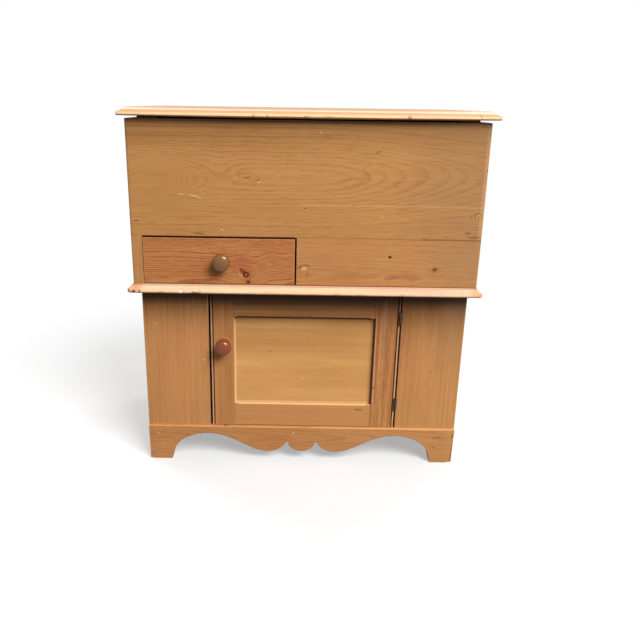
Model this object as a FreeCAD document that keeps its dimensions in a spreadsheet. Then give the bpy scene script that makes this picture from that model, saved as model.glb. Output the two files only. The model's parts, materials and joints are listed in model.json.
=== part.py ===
import FreeCAD, Part
import math
import os
import Sketcher

# Lift-top dry sink cabinet in pine. Millimetres, +X right, +Y to the back, +Z up. The origin is on the floor,
# under the middle of the whole piece, from the drawer knob to the lid hinges.

SIZES = {
    # upper box
    "box_width": 763,
    "box_depth": 440,
    "box_height": 352,
    "front_thick": 20,
    "side_thick": 18,
    "back_thick": 14,
    "front_arris": 4,
    "back_split": 170,
    "hinge_rail_thick": 22,
    "hinge_rail_height": 32,
    "post_width": 24,
    # waist board and lid
    "waist_thick": 19,
    "waist_overhang": 13.5,
    "lid_thick": 17.5,
    "lid_overhang": 13.5,
    "lid_gap": 5.5,
    "lid_front_width": 248,
    "nose_radius": 3.6,
    "nose_height": 6.4,
    "slope_inset": 0.9,
    "moulding_run": 12.5,
    "moulding_step": 4.3,
    "shoulder_run": 7,
    "shoulder_rise": 2.6,
    "batten_width": 42,
    "batten_thick": 20,
    "batten_room": 4,
    "batten_chamfer": 9,
    "landing_gap": 0.3,
    # drawer opening and what the drawer runs in
    "drawer_stile_width": 24,
    "drawer_opening_width": 337,
    "drawer_opening_height": 107,
    "divider_thick": 18,
    "drawer_top_thick": 14,
    "stop_height": 24,
    "stop_margin": 24,
    "room_behind_drawer": 26,
    # drawer
    "drawer_side_gap": 1.2,
    "drawer_free_gap": 3,
    "drawer_under_gap": 0.5,
    "drawer_front_thick": 20,
    "drawer_side_thick": 12,
    "drawer_back_thick": 12,
    "drawer_side_drop": 7,
    "drawer_back_drop": 6,
    "drawer_lap": 6,
    "drawer_bottom_thick": 7,
    "drawer_bottom_lift": 9,
    "drawer_groove": 5,
    "tail_flare": 2.6,
    # lower case
    "case_height": 424,
    "setback": 14,
    "knob_side_stile_width": 149.5,
    "hinge_side_stile_width": 146,
    "stile_thick": 18,
    "stile_arris": 2,
    "case_back_thick": 12,
    "plinth_height": 90,
    "plinth_proud": 6.5,
    "plinth_chamfer": 2.6,
    "floor_thick": 16,
    "ledger_width": 20,
    "block_width": 30,
    "block_lift": 3,
    "side_foot_width": 58,
    "side_arch_height": 48,
    # scalloped lower edge of the apron
    "foot_width": 54,
    "foot_splay": 5,
    "foot_shoulder": 20,
    "foot_radius": 56,
    "arch_height": 70,
    "arch_radius": 110,
    "lobe_place": 79,
    "lobe_height": 24,
    "cusp_place": 35,
    "cusp_height": 52.5,
    "middle_lobe_height": 25,
    # door
    "door_free_gap": 3.7,
    "door_hinge_gap": 1.6,
    "door_end_gap": 1.5,
    "knob_stile_width": 54.5,
    "hinge_stile_width": 58.5,
    "top_rail_width": 59,
    "bottom_rail_width": 57,
    "bead_radius": 2.6,
    "quirk_width": 1.8,
    "quirk_depth": 3.2,
    "panel_recess": 5,
    "groove_width": 5.5,
    "groove_depth": 9,
    "panel_slack": 1,
    "panel_field": 3.5,
    "panel_bevel": 26,
    "tenon_length": 42,
    "tenon_shoulder": 12,
    "door_stop_width": 120,
    "door_stop_thick": 16,
    "door_stop_height": 20,
    # knobs and turn button
    "drawer_knob_radius": 19.4,
    "drawer_knob_length": 32,
    "drawer_knob_base": 12,
    "door_knob_radius": 18.3,
    "door_knob_length": 35,
    "door_knob_rose": 17.6,
    "knob_base_thick": 3.5,
    "knob_neck_radius": 8.5,
    "knob_crown": 8,
    "knob_rim": 10,
    "knob_under": 5,
    "shank_radius": 5,
    "shank_fit": 0.06,
    "shank_length": 15,
    "spindle_square": 6,
    "door_knob_inset": 31,
    "door_knob_lift": 40,
    "drawer_knob_offset": 6,
    "drawer_knob_lift": 1.5,
    "button_length": 52,
    "button_width": 18,
    "button_thick": 8,
    "button_gap": 0.3,
    # hinges
    "knuckle_radius": 3.6,
    "hinge_pin_radius": 1.6,
    "hinge_pin_fit": 0.05,
    "knuckle_gap": 0.25,
    "barrel_room": 0.35,
    "door_hinge_length": 28,
    "door_hinge_leaf": 15,
    "door_hinge_pin_out": 2.4,
    "door_hinge_drop": 57,
    "door_hinge_lift": 62,
    "door_leaf_thick": 1.3,
    "lid_hinge_length": 64,
    "lid_hinge_leaf": 30,
    "lid_leaf_thick": 2,
    "lid_hinge_inset": 145,
}

# How many there are of what repeats, and the shares of a length that aren't lengths themselves
TAILS = 3
TAIL_MARGIN = 0.2
KNUCKLES = 3
BACK_PLANKS = ("left", "middle", "right")
CROWN_STEPS = 3
# Of the two radii's sum at which the arch's arc would meet the lobe's with no straight between them
SWEEP_SHARE = 0.536
LOBE_SHARE = 0.364

PLANE_X = "YZ_Plane"
PLANE_Y = "XZ_Plane"
PLANE_Z = "XY_Plane"

doc = FreeCAD.newDocument("dry_sink_cabinet")
sheet = doc.addObject("Spreadsheet::Sheet", "sheet")
for row, (alias, number) in enumerate(SIZES.items(), 1):
    sheet.set("A%d" % row, alias)
    sheet.set("B%d" % row, str(number))
    sheet.setAlias("B%d" % row, alias)
doc.recompute()


class Size:
    """A length that carries its value and the sheet expression that it comes from."""

    def __init__(self, value, text):
        self.value = value
        self.text = text

    def joined(self, other, sign, value):
        text = other.text if isinstance(other, Size) else "%g" % other
        return Size(value, "(%s %s %s)" % (self.text, sign, text))

    def __add__(self, other):
        return self.joined(other, "+", self.value + number_of(other))

    def __sub__(self, other):
        return self.joined(other, "-", self.value - number_of(other))

    def __mul__(self, other):
        return self.joined(other, "*", self.value * number_of(other))

    def __truediv__(self, other):
        return self.joined(other, "/", self.value / number_of(other))

    def __neg__(self):
        return ZERO - self

    def __rsub__(self, other):
        return size_of(other) - self

    __radd__ = __add__
    __rmul__ = __mul__


def number_of(length):
    return length.value if isinstance(length, Size) else float(length)


def size_of(length):
    return length if isinstance(length, Size) else Size(float(length), "%g" % length)


def root(size):
    return Size(math.sqrt(size.value), "sqrt(%s)" % size.text)


ZERO = Size(0.0, "0")


class Sizes:
    """Every alias of the sheet as a Size attribute."""

    def __init__(self):
        for name, value in SIZES.items():
            setattr(self, name, Size(float(value), "sheet." + name))


S = Sizes()

# ---------------------------------------------------------------------------------------------------------
# Levels and planes that several pieces share

half_box = S.box_width / 2
half_case = half_box - S.setback
case_top = S.case_height
box_floor = case_top + S.waist_thick
seam = box_floor + S.drawer_opening_height
box_top = box_floor + S.box_height
lid_under = box_top + S.lid_gap
lid_top = lid_under + S.lid_thick

hinge_out = S.knuckle_radius * 2 + S.barrel_room
front = (S.drawer_knob_length - S.box_depth - hinge_out) / 2
back = front + S.box_depth
box_inside_front = front + S.front_thick
box_inside_back = back - S.back_thick
half_box_inside = half_box - S.side_thick

case_front = front + S.setback
case_inside_front = case_front + S.stile_thick
case_inside_back = back - S.case_back_thick
half_case_inside = half_case - S.side_thick
apron_front = case_front - S.plinth_proud
floor_under = S.plinth_height - S.floor_thick

opening_left = -half_box + S.drawer_stile_width
opening_right = opening_left + S.drawer_opening_width

stile_inside_left = -half_case + S.knob_side_stile_width
stile_inside_right = half_case - S.hinge_side_stile_width
door_left = stile_inside_left + S.door_free_gap
door_right = stile_inside_right - S.door_hinge_gap
door_low = S.plinth_height + S.door_end_gap
door_high = case_top - S.door_end_gap
panel_low = door_low + S.bottom_rail_width
panel_high = door_high - S.top_rail_width
panel_left = door_left + S.knob_stile_width
panel_right = door_right - S.hinge_stile_width
groove_front = case_front + S.panel_recess
groove_back = groove_front + S.groove_width
door_pin_x = door_right + S.door_hinge_gap / 2
door_pin_y = case_front - S.door_hinge_pin_out
knob_x = door_left + S.door_knob_inset
knob_z = (door_low + door_high) / 2 + S.door_knob_lift

lid_pin_y = back + S.knuckle_radius + S.barrel_room
lid_pin_z = box_top + S.lid_gap / 2

drawer_left = opening_left + S.drawer_side_gap
drawer_right = opening_right - S.drawer_free_gap
drawer_low = box_floor + S.drawer_under_gap
drawer_high = seam - S.drawer_free_gap
drawer_side_high = drawer_high - S.drawer_side_drop
drawer_back_high = drawer_side_high - S.drawer_back_drop
drawer_end = box_inside_back - S.room_behind_drawer
drawer_length = drawer_end - front
drawer_knob_x = (opening_left + opening_right) / 2 + S.drawer_knob_offset
drawer_knob_z = (box_floor + seam) / 2 + S.drawer_knob_lift

nodes = {}


def node(label, thing):
    """Names a finished piece, which becomes one file of its own."""
    thing.Label = label
    nodes[label] = thing
    return thing


# ---------------------------------------------------------------------------------------------------------
# Solids bound to the sheet

def bind(thing, prop, length):
    thing.setExpression(prop, size_of(length).text)


def bind_place(thing, x, y, z):
    for axis, length in zip("xyz", (x, y, z)):
        bind(thing, "Placement.Base." + axis, length)


def block(name, x, y, z):
    """A squared board or block between two planes on each axis."""
    thing = doc.addObject("Part::Box", name)
    for prop, (low, high) in (("Length", x), ("Width", y), ("Height", z)):
        bind(thing, prop, high - low)
    bind_place(thing, x[0], y[0], z[0])
    return thing


def rod(name, along, centre, span, radius):
    """A round bar along x, y or z. The centre gives its other two coordinates, in x, y, z order."""
    thing = doc.addObject("Part::Cylinder", name)
    bind(thing, "Radius", radius)
    bind(thing, "Height", span[1] - span[0])
    turn = {"x": FreeCAD.Rotation(FreeCAD.Vector(0, 1, 0), 90),
            "y": FreeCAD.Rotation(FreeCAD.Vector(1, 0, 0), -90),
            "z": FreeCAD.Rotation()}[along]
    thing.Placement = FreeCAD.Placement(FreeCAD.Vector(), turn)
    place = list(centre)
    place.insert("xyz".index(along), span[0])
    bind_place(thing, *place)
    return thing


def fused(name, things):
    thing = doc.addObject("Part::MultiFuse", name)
    thing.Shapes = things
    thing.Refine = True
    return thing


def cut(name, base, tools):
    """The base without its tools. One tool can be another piece that is let into the base."""
    tool = tools[0]
    if len(tools) > 1:
        tool = doc.addObject("Part::MultiFuse", name + "_tools")
        tool.Shapes = tools
    thing = doc.addObject("Part::Cut", name)
    thing.Base = base
    thing.Tool = tool
    return thing


def shared(name, first, second):
    thing = doc.addObject("Part::Common", name)
    thing.Base = first
    thing.Tool = second
    return thing


# ---------------------------------------------------------------------------------------------------------
# Sketched bodies. A path is a closed list of corners (across, up). A corner reached by an arc adds its radius
# and "left" or "right", the way the arc turns.

def new_body(name, x, y, z):
    body = doc.addObject("PartDesign::Body", name)
    bind_place(body, x, y, z)
    return body


def new_sketch(body, name, plane):
    sketch = body.newObject("Sketcher::SketchObject", name)
    origin_plane = [part for part in body.Origin.OriginFeatures if part.Role == plane][0]
    sketch.AttachmentSupport = [(origin_plane, "")]
    sketch.MapMode = "FlatFace"
    return sketch


def arc_between(start, end, radius, turn):
    """The shorter arc of a radius from start to end, as a curve that runs anticlockwise."""
    chord = end - start
    middle = (start + end) / 2
    reach = math.sqrt(max(radius ** 2 - (chord.Length / 2) ** 2, 0.0))
    side = FreeCAD.Vector(-chord.y, chord.x, 0).normalize()
    centre = middle + side * (reach if turn == "left" else -reach)
    first, last = (start, end) if turn == "left" else (end, start)
    angles = [math.atan2(point.y - centre.y, point.x - centre.x) for point in (first, last)]
    circle = Part.Circle(centre, FreeCAD.Vector(0, 0, 1), radius)
    return Part.ArcOfCircle(circle, angles[0], angles[1])


def bind_corner(sketch, edge, end, across, up):
    for kind, length in (("DistanceX", across), ("DistanceY", up)):
        length = size_of(length)
        if length.text == "0":
            axis = -2 if kind == "DistanceX" else -1
            sketch.addConstraint(Sketcher.Constraint("PointOnObject", edge, end, axis))
            continue
        index = sketch.addConstraint(Sketcher.Constraint(kind, -1, 1, edge, end, length.value))
        sketch.setExpression("Constraints[%d]" % index, length.text)


def draw_path(sketch, path):
    """Draws a closed path, with each corner and radius bound to the sheet."""
    corners = [FreeCAD.Vector(number_of(corner[0]), number_of(corner[1]), 0) for corner in path]
    ends = []
    for index, corner in enumerate(path):
        start, end = corners[index - 1], corners[index]
        if len(corner) == 2:
            edge = sketch.addGeometry(Part.LineSegment(start, end), False)
            ends.append((edge, 1, 2))
            continue
        edge = sketch.addGeometry(arc_between(start, end, corner[2].value, corner[3]), False)
        ends.append((edge, 1, 2) if corner[3] == "left" else (edge, 2, 1))
        radius = sketch.addConstraint(Sketcher.Constraint("Radius", edge, corner[2].value))
        sketch.setExpression("Constraints[%d]" % radius, corner[2].text)
    for index, (edge, _, last) in enumerate(ends):
        following = ends[(index + 1) % len(ends)]
        sketch.addConstraint(Sketcher.Constraint("Coincident", edge, last, following[0], following[1]))
        bind_corner(sketch, edge, last, path[index][0], path[index][1])
    return sketch


def pad(body, sketch, length, name, backwards=False):
    feature = body.newObject("PartDesign::Pad", name)
    feature.Profile = sketch
    bind(feature, "Length", length)
    feature.Reversed = backwards
    return feature


def extruded(name, plane, path, length, place):
    """A board whose section is a path on one origin plane, run along the third axis from its place."""
    body = new_body(name, *place)
    sketch = draw_path(new_sketch(body, name + "_section", plane), path)
    pad(body, sketch, length, name + "_run", plane == PLANE_Y)
    return body


# ---------------------------------------------------------------------------------------------------------
# Boards with rounded upright arrises

def front_board(name, x, y, z, radius, round_left, round_right):
    """An upright front board, with its outer front corners rounded where it turns the cabinet's corner."""
    wide, thick = x[1] - x[0], y[1] - y[0]
    path = [(wide, thick), (ZERO, thick)]
    path += [(ZERO, radius), (radius, ZERO, radius, "left")] if round_left else [(ZERO, ZERO)]
    path += [(wide - radius, ZERO), (wide, radius, radius, "left")] if round_right else [(wide, ZERO)]
    return extruded(name, PLANE_Z, path, z[1] - z[0], (x[0], y[0], z[0]))


# ---------------------------------------------------------------------------------------------------------
# Moulded boards: a rounded nose below, a slope above it, and a step up to the top face. The lid has its arris
# taken off in a low shoulder.

def edge_profile(thick, shouldered, flip=None):
    """The moulded edge from the underside to the top face, on the left, or mirrored in the width flip."""
    rise = thick - S.moulding_step
    corners = [(S.nose_radius, ZERO),
               (ZERO, S.nose_radius, S.nose_radius, "right"),
               (S.slope_inset, S.nose_height),
               (S.moulding_run, rise)]
    if shouldered:
        corners += [(S.moulding_run, thick - S.shoulder_rise), (S.moulding_run + S.shoulder_run, thick)]
    else:
        corners += [(S.moulding_run, thick)]
    if flip is None:
        return corners
    mirrored = [(flip - corner[0], corner[1]) for corner in reversed(corners)]
    nose = mirrored[-1]
    mirrored[-1] = (nose[0], nose[1], S.nose_radius, "right")
    return mirrored


def moulded_slab(name, overhang, thick, low, shouldered):
    """A board moulded on its front and both ends, with the mouldings mitred where they meet."""
    width = S.box_width + overhang * 2
    depth = S.box_depth + overhang
    place = (-half_box - overhang, front - overhang, low)
    front_path = edge_profile(thick, shouldered) + [(depth, thick), (depth, ZERO)]
    front_run = extruded(name + "_front_run", PLANE_X, front_path, width, place)
    end_path = edge_profile(thick, shouldered) + edge_profile(thick, shouldered, width)
    end_run = extruded(name + "_end_run", PLANE_Y, end_path, depth, place)
    return shared(name, front_run, end_run)


# ---------------------------------------------------------------------------------------------------------
# Upper box

def upper_box():
    front_y = (front, box_inside_front)
    depth_y = (box_inside_front, box_inside_back)
    node("upper_front_board", front_board("upper_front", (-half_box, half_box), front_y, (seam, box_top),
                                          S.front_arris, True, True))
    node("lower_front_board", front_board("lower_front", (opening_right, half_box), front_y,
                                          (box_floor, seam), S.front_arris, False, True))
    node("drawer_stile", front_board("stile_by_drawer", (-half_box, opening_left), front_y,
                                     (box_floor, seam), S.front_arris, True, False))
    node("box_side_left", block("side_left", (-half_box, -half_box_inside), depth_y, (box_floor, box_top)))
    node("box_side_right", block("side_right", (half_box_inside, half_box), depth_y, (box_floor, box_top)))
    back_y = (box_inside_back, back)
    split = box_floor + S.back_split
    node("box_back_lower", block("back_lower", (-half_box, half_box), back_y, (box_floor, split)))
    node("box_back_upper", block("back_upper", (-half_box, half_box), back_y, (split, box_top)))
    node("hinge_rail", block("rail_for_hinges", (-half_box_inside, half_box_inside),
                             (box_inside_back - S.hinge_rail_thick, box_inside_back),
                             (box_top - S.hinge_rail_height, box_top)))
    node("drawer_divider", block("divider", (opening_right, opening_right + S.divider_thick), depth_y,
                                 (box_floor, seam)))
    raised_floor = seam + S.drawer_top_thick
    node("drawer_top_board", block("top_over_drawer", (-half_box_inside, opening_right + S.divider_thick),
                                   depth_y, (seam, raised_floor)))
    node("drawer_guide", block("guide", (-half_box_inside, opening_left), depth_y, (box_floor, seam)))
    node("drawer_stop", block("stop", (opening_left + S.stop_margin, opening_right - S.stop_margin),
                              (drawer_end + S.landing_gap, box_inside_back),
                              (box_floor, box_floor + S.stop_height)))
    landing = lid_under - S.batten_thick - S.landing_gap
    post_y = (box_inside_front, box_inside_front + S.post_width)
    node("corner_post_left", block("post_left", (-half_box_inside, -half_box_inside + S.post_width), post_y,
                                   (raised_floor, landing)))
    node("corner_post_right", block("post_right", (half_box_inside - S.post_width, half_box_inside), post_y,
                                    (box_floor, landing)))
    node("waist_board", moulded_slab("waist", S.waist_overhang, S.waist_thick, case_top, False))


# ---------------------------------------------------------------------------------------------------------
# Lid

def lid_batten(name, low_x):
    """A batten under the lid, with its lower front corner taken off."""
    start = box_inside_front + S.batten_room
    length = box_inside_back - S.hinge_rail_thick - S.batten_room - start
    path = [(S.batten_chamfer, ZERO), (length, ZERO), (length, S.batten_thick), (ZERO, S.batten_thick),
            (ZERO, S.batten_chamfer)]
    return extruded(name, PLANE_X, path, S.batten_width, (low_x, start, lid_under - S.batten_thick))


def lid():
    slab = moulded_slab("lid_slab", S.lid_overhang, S.lid_thick, lid_under, True)
    joint = front - S.lid_overhang + S.lid_front_width
    wide = (-half_box - S.lid_overhang, half_box + S.lid_overhang)
    tall = (lid_under, lid_top)
    front_half = block("lid_front_half", wide, (front - S.lid_overhang, joint), tall)
    back_half = block("lid_back_half", wide, (joint, back), tall)
    node("lid_board_front", shared("lid_front", slab, front_half))
    node("lid_board_back", shared("lid_back", slab, back_half))
    outer = half_box_inside - S.batten_room
    node("lid_batten_left", lid_batten("batten_left", -outer))
    node("lid_batten_right", lid_batten("batten_right", outer - S.batten_width))


# ---------------------------------------------------------------------------------------------------------
# Butt hinges with three knuckles. The fixed leaf has the two outer ones and the moving leaf the middle one.

def hinge_leaf(name, along, span, knuckles, reach, thick, pin_centre):
    """A leaf: a plate, and for each knuckle a neck and a barrel bored for the pin."""
    across = "z" if along == "x" else "x"
    pin_y = pin_centre[0] if along == "x" else pin_centre[1]
    parts = [block(name + "_plate", **{along: span, "y": reach, across: thick})]
    neck_y = (pin_y, reach[0]) if reach[0].value > pin_y.value else (reach[1], pin_y)
    for index, knuckle in enumerate(knuckles):
        tag = "%s_%d" % (name, index)
        parts.append(block(tag + "_neck", **{along: knuckle, "y": neck_y, across: thick}))
        parts.append(rod(tag + "_barrel", along, pin_centre, knuckle, S.knuckle_radius))
    solid = fused(name + "_solid", parts)
    bore = rod(name + "_bore", along, pin_centre, span, S.hinge_pin_radius + S.hinge_pin_fit)
    return cut(name, solid, [bore])


def knuckle_spans(low, length):
    """The outer knuckles and the middle one along the pin, with a small gap between neighbours."""
    third = length / KNUCKLES
    outer = [(low, low + third - S.knuckle_gap), (low + third * 2 + S.knuckle_gap, low + length)]
    return outer, [(low + third, low + third * 2)]


def lid_hinge(side, middle):
    span = (middle - S.lid_hinge_length / 2, middle + S.lid_hinge_length / 2)
    outer, inner = knuckle_spans(span[0], S.lid_hinge_length)
    reach = (back - S.lid_hinge_leaf, back)
    centre = (lid_pin_y, lid_pin_z)
    low = (box_top, box_top + S.lid_leaf_thick)
    high = (lid_under - S.lid_leaf_thick, lid_under)
    prefix = "lid_hinge_" + side
    node(prefix + "_box_leaf", hinge_leaf(prefix + "_low", "x", span, outer, reach, low, centre))
    node(prefix + "_lid_leaf", hinge_leaf(prefix + "_high", "x", span, inner, reach, high, centre))
    node(prefix + "_pin", rod(prefix + "_rod", "x", centre, span, S.hinge_pin_radius))


def door_hinge(level, middle):
    """A hinge let into the door's edge and the stile's edge, and the tool that clears its barrel."""
    span = (middle - S.door_hinge_length / 2, middle + S.door_hinge_length / 2)
    outer, inner = knuckle_spans(span[0], S.door_hinge_length)
    clear_y = door_pin_y + S.knuckle_radius + S.barrel_room
    reach = (clear_y, case_front + S.door_hinge_leaf)
    centre = (door_pin_x, door_pin_y)
    in_case = (stile_inside_right, stile_inside_right + S.door_leaf_thick)
    in_door = (door_right - S.door_leaf_thick, door_right)
    prefix = "door_hinge_" + level
    node(prefix + "_case_leaf", hinge_leaf(prefix + "_case", "z", span, outer, reach, in_case, centre))
    node(prefix + "_door_leaf", hinge_leaf(prefix + "_door", "z", span, inner, reach, in_door, centre))
    node(prefix + "_pin", rod(prefix + "_rod", "z", centre, span, S.hinge_pin_radius))
    room = (span[0] - S.barrel_room, span[1] + S.barrel_room)
    barrel = rod(prefix + "_clearance", "z", centre, room, S.knuckle_radius + S.barrel_room)
    case_seat = block(prefix + "_case_seat", in_case, (case_front, reach[1]), span)
    door_seat = block(prefix + "_door_seat", in_door, (case_front, reach[1]), span)
    return barrel, case_seat, door_seat


# ---------------------------------------------------------------------------------------------------------
# Lower case

def case_side(name, low_x):
    """A side board that stands on two feet, with a plain cut-out between them."""
    deep = case_inside_back - case_inside_front
    arch = S.side_arch_height
    foot = S.side_foot_width
    path = [(deep, case_top), (ZERO, case_top), (ZERO, ZERO), (foot, ZERO),
            (foot + arch, arch, arch, "right"), (deep - foot - arch, arch),
            (deep - foot, ZERO, arch, "right"), (deep, ZERO)]
    return extruded(name, PLANE_X, path, S.side_thick, (low_x, case_inside_front, ZERO))


def arch_place():
    """How far from the middle the arch is highest. Its two arcs start square to the foot's splayed heel."""
    heel = root(S.foot_splay * S.foot_splay + S.foot_shoulder * S.foot_shoulder)
    centre_x = half_case - S.foot_width - S.foot_splay - S.foot_radius * S.foot_shoulder / heel
    centre_z = S.foot_shoulder - S.foot_radius * S.foot_splay / heel
    radii = S.foot_radius - S.arch_radius
    lift = (S.arch_height - S.arch_radius - centre_z) / radii
    return centre_x + radii * root(1 - lift * lift)


def ogee_radii():
    """The radii of the arch's inner arc and of the lobe, which leave a short straight between them."""
    run = arch_place() - S.lobe_place
    drop = S.arch_height - S.lobe_height
    both = (run * run + drop * drop) / (drop * 2)
    return both * SWEEP_SHARE, both * LOBE_SHARE


def apron_corners(sweep_radius, lobe_radius):
    """The points of the right half's lower edge, from the foot to the middle, worked out from its arcs."""
    foot_x = half_case.value - SIZES["foot_width"]
    heel = FreeCAD.Vector(foot_x, 0, 0)
    shoulder = FreeCAD.Vector(foot_x - SIZES["foot_splay"], SIZES["foot_shoulder"], 0)
    crown = FreeCAD.Vector(arch_place().value, SIZES["arch_height"], 0)
    arch_centre = crown - FreeCAD.Vector(0, SIZES["arch_radius"], 0)
    rise = (shoulder - heel).normalize()
    inward = FreeCAD.Vector(-rise.y, rise.x, 0)
    foot_centre = shoulder + inward * SIZES["foot_radius"]
    haunch = foot_centre + (foot_centre - arch_centre).normalize() * SIZES["foot_radius"]
    sweep_centre = crown - FreeCAD.Vector(0, sweep_radius, 0)
    lobe = FreeCAD.Vector(SIZES["lobe_place"], SIZES["lobe_height"], 0)
    lobe_centre = lobe + FreeCAD.Vector(0, lobe_radius, 0)
    apart = lobe_centre - sweep_centre
    lean = math.acos((sweep_radius + lobe_radius) / apart.Length)
    angle = math.atan2(apart.y, apart.x) - lean
    spoke = FreeCAD.Vector(math.cos(angle), math.sin(angle), 0)
    leave = sweep_centre + spoke * sweep_radius
    arrive = lobe_centre - spoke * lobe_radius
    cusp = FreeCAD.Vector(SIZES["cusp_place"], SIZES["cusp_height"], 0)
    return heel, shoulder, haunch, crown, leave, arrive, lobe, cusp


def radius_through(low, high):
    """The radius of an arc that is level at its low point and passes through its high point."""
    across, up = high.x - low.x, high.y - low.y
    return (across ** 2 + up ** 2) / (2 * up)


def draw_apron(sketch):
    """The right half of the apron: a foot, an arch, an ogee sweep to a lobe, a cusp and half a lobe."""
    sweep_radius, lobe_radius = ogee_radii()
    corners = apron_corners(sweep_radius.value, lobe_radius.value)
    heel, shoulder, haunch, crown, leave, arrive, lobe, cusp = corners
    middle = FreeCAD.Vector(0, SIZES["middle_lobe_height"], 0)
    top = FreeCAD.Vector(0, SIZES["plinth_height"], 0)
    outer_top = FreeCAD.Vector(half_case.value, SIZES["plinth_height"], 0)
    outer_low = FreeCAD.Vector(half_case.value, 0, 0)
    shapes = [Part.LineSegment(middle, top), Part.LineSegment(top, outer_top),
              Part.LineSegment(outer_top, outer_low), Part.LineSegment(outer_low, heel),
              Part.LineSegment(heel, shoulder),
              arc_between(shoulder, haunch, SIZES["foot_radius"], "left"),
              arc_between(haunch, crown, SIZES["arch_radius"], "left"),
              arc_between(crown, leave, sweep_radius.value, "left"),
              Part.LineSegment(leave, arrive),
              arc_between(arrive, lobe, lobe_radius.value, "right"),
              arc_between(lobe, cusp, radius_through(lobe, cusp), "right"),
              arc_between(cusp, middle, radius_through(middle, cusp), "right")]
    up, over, down, under, heel_line, foot, arch, sweep, slope, lobe_in, lobe_out, half_lobe = range(12)
    sketch.addGeometry(shapes, False)
    for before, after in ((up, over), (over, down), (down, under), (under, heel_line)):
        sketch.addConstraint(Sketcher.Constraint("Coincident", before, 2, after, 1))
    sketch.addConstraint(Sketcher.Constraint("Coincident", lobe_out, 1, half_lobe, 2))
    sketch.addConstraint(Sketcher.Constraint("Coincident", half_lobe, 1, up, 1))
    for before, end, after, start in ((heel_line, 2, foot, 1), (foot, 2, arch, 1), (arch, 2, sweep, 1),
                                      (sweep, 2, slope, 1), (slope, 2, lobe_in, 2),
                                      (lobe_in, 1, lobe_out, 2)):
        sketch.addConstraint(Sketcher.Constraint("Tangent", before, end, after, start))
    for edge, length in ((foot, S.foot_radius), (arch, S.arch_radius), (sweep, sweep_radius),
                         (lobe_in, lobe_radius)):
        radius = sketch.addConstraint(Sketcher.Constraint("Radius", edge, length.value))
        sketch.setExpression("Constraints[%d]" % radius, length.text)
    for edge, end in ((arch, 2), (lobe_in, 1), (half_lobe, 1)):
        sketch.addConstraint(Sketcher.Constraint("Vertical", edge, 3, edge, end))
    foot_inside = half_case - S.foot_width
    for edge, end, across, height in ((up, 1, ZERO, S.middle_lobe_height), (up, 2, ZERO, S.plinth_height),
                                      (over, 2, half_case, S.plinth_height), (down, 2, half_case, ZERO),
                                      (under, 2, foot_inside, ZERO),
                                      (heel_line, 2, foot_inside - S.foot_splay, S.foot_shoulder),
                                      (lobe_in, 1, S.lobe_place, S.lobe_height),
                                      (lobe_out, 1, S.cusp_place, S.cusp_height)):
        bind_corner(sketch, edge, end, across, height)
    level = sketch.addConstraint(Sketcher.Constraint("DistanceY", -1, 1, arch, 2, S.arch_height.value))
    sketch.setExpression("Constraints[%d]" % level, S.arch_height.text)


def apron():
    """The scalloped plinth board: half of it is drawn, mirrored, and its top arris is taken off."""
    body = new_body("plinth", ZERO, apron_front, ZERO)
    sketch = new_sketch(body, "plinth_half", PLANE_Y)
    draw_apron(sketch)
    half = pad(body, sketch, S.stile_thick + S.plinth_proud, "plinth_pad", True)
    doc.recompute()
    mirror = body.newObject("PartDesign::Mirrored", "plinth_mirror")
    mirror.Originals = [half]
    mirror_plane = [part for part in body.Origin.OriginFeatures if part.Role == PLANE_X][0]
    mirror.MirrorPlane = (mirror_plane, [""])
    body.Tip = mirror
    doc.recompute()
    chamfer = body.newObject("PartDesign::Chamfer", "plinth_arris")
    names = edge_names(mirror.Shape, lambda edge: level_edge(edge, SIZES["plinth_height"], 0.0))
    chamfer.Base = (mirror, names)
    bind(chamfer, "Size", S.plinth_chamfer)
    body.Tip = chamfer
    return body


def edge_names(shape, wanted):
    return ["Edge%d" % number for number, edge in enumerate(shape.Edges, 1) if wanted(edge)]


def level_edge(edge, height, depth):
    """True for an edge that lies at one height and one depth of its body."""
    box = edge.BoundBox
    flat = box.ZLength < 1e-4 and box.YLength < 1e-4
    return flat and abs(box.ZMin - height) < 1e-4 and abs(box.YMin - depth) < 1e-4


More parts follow.
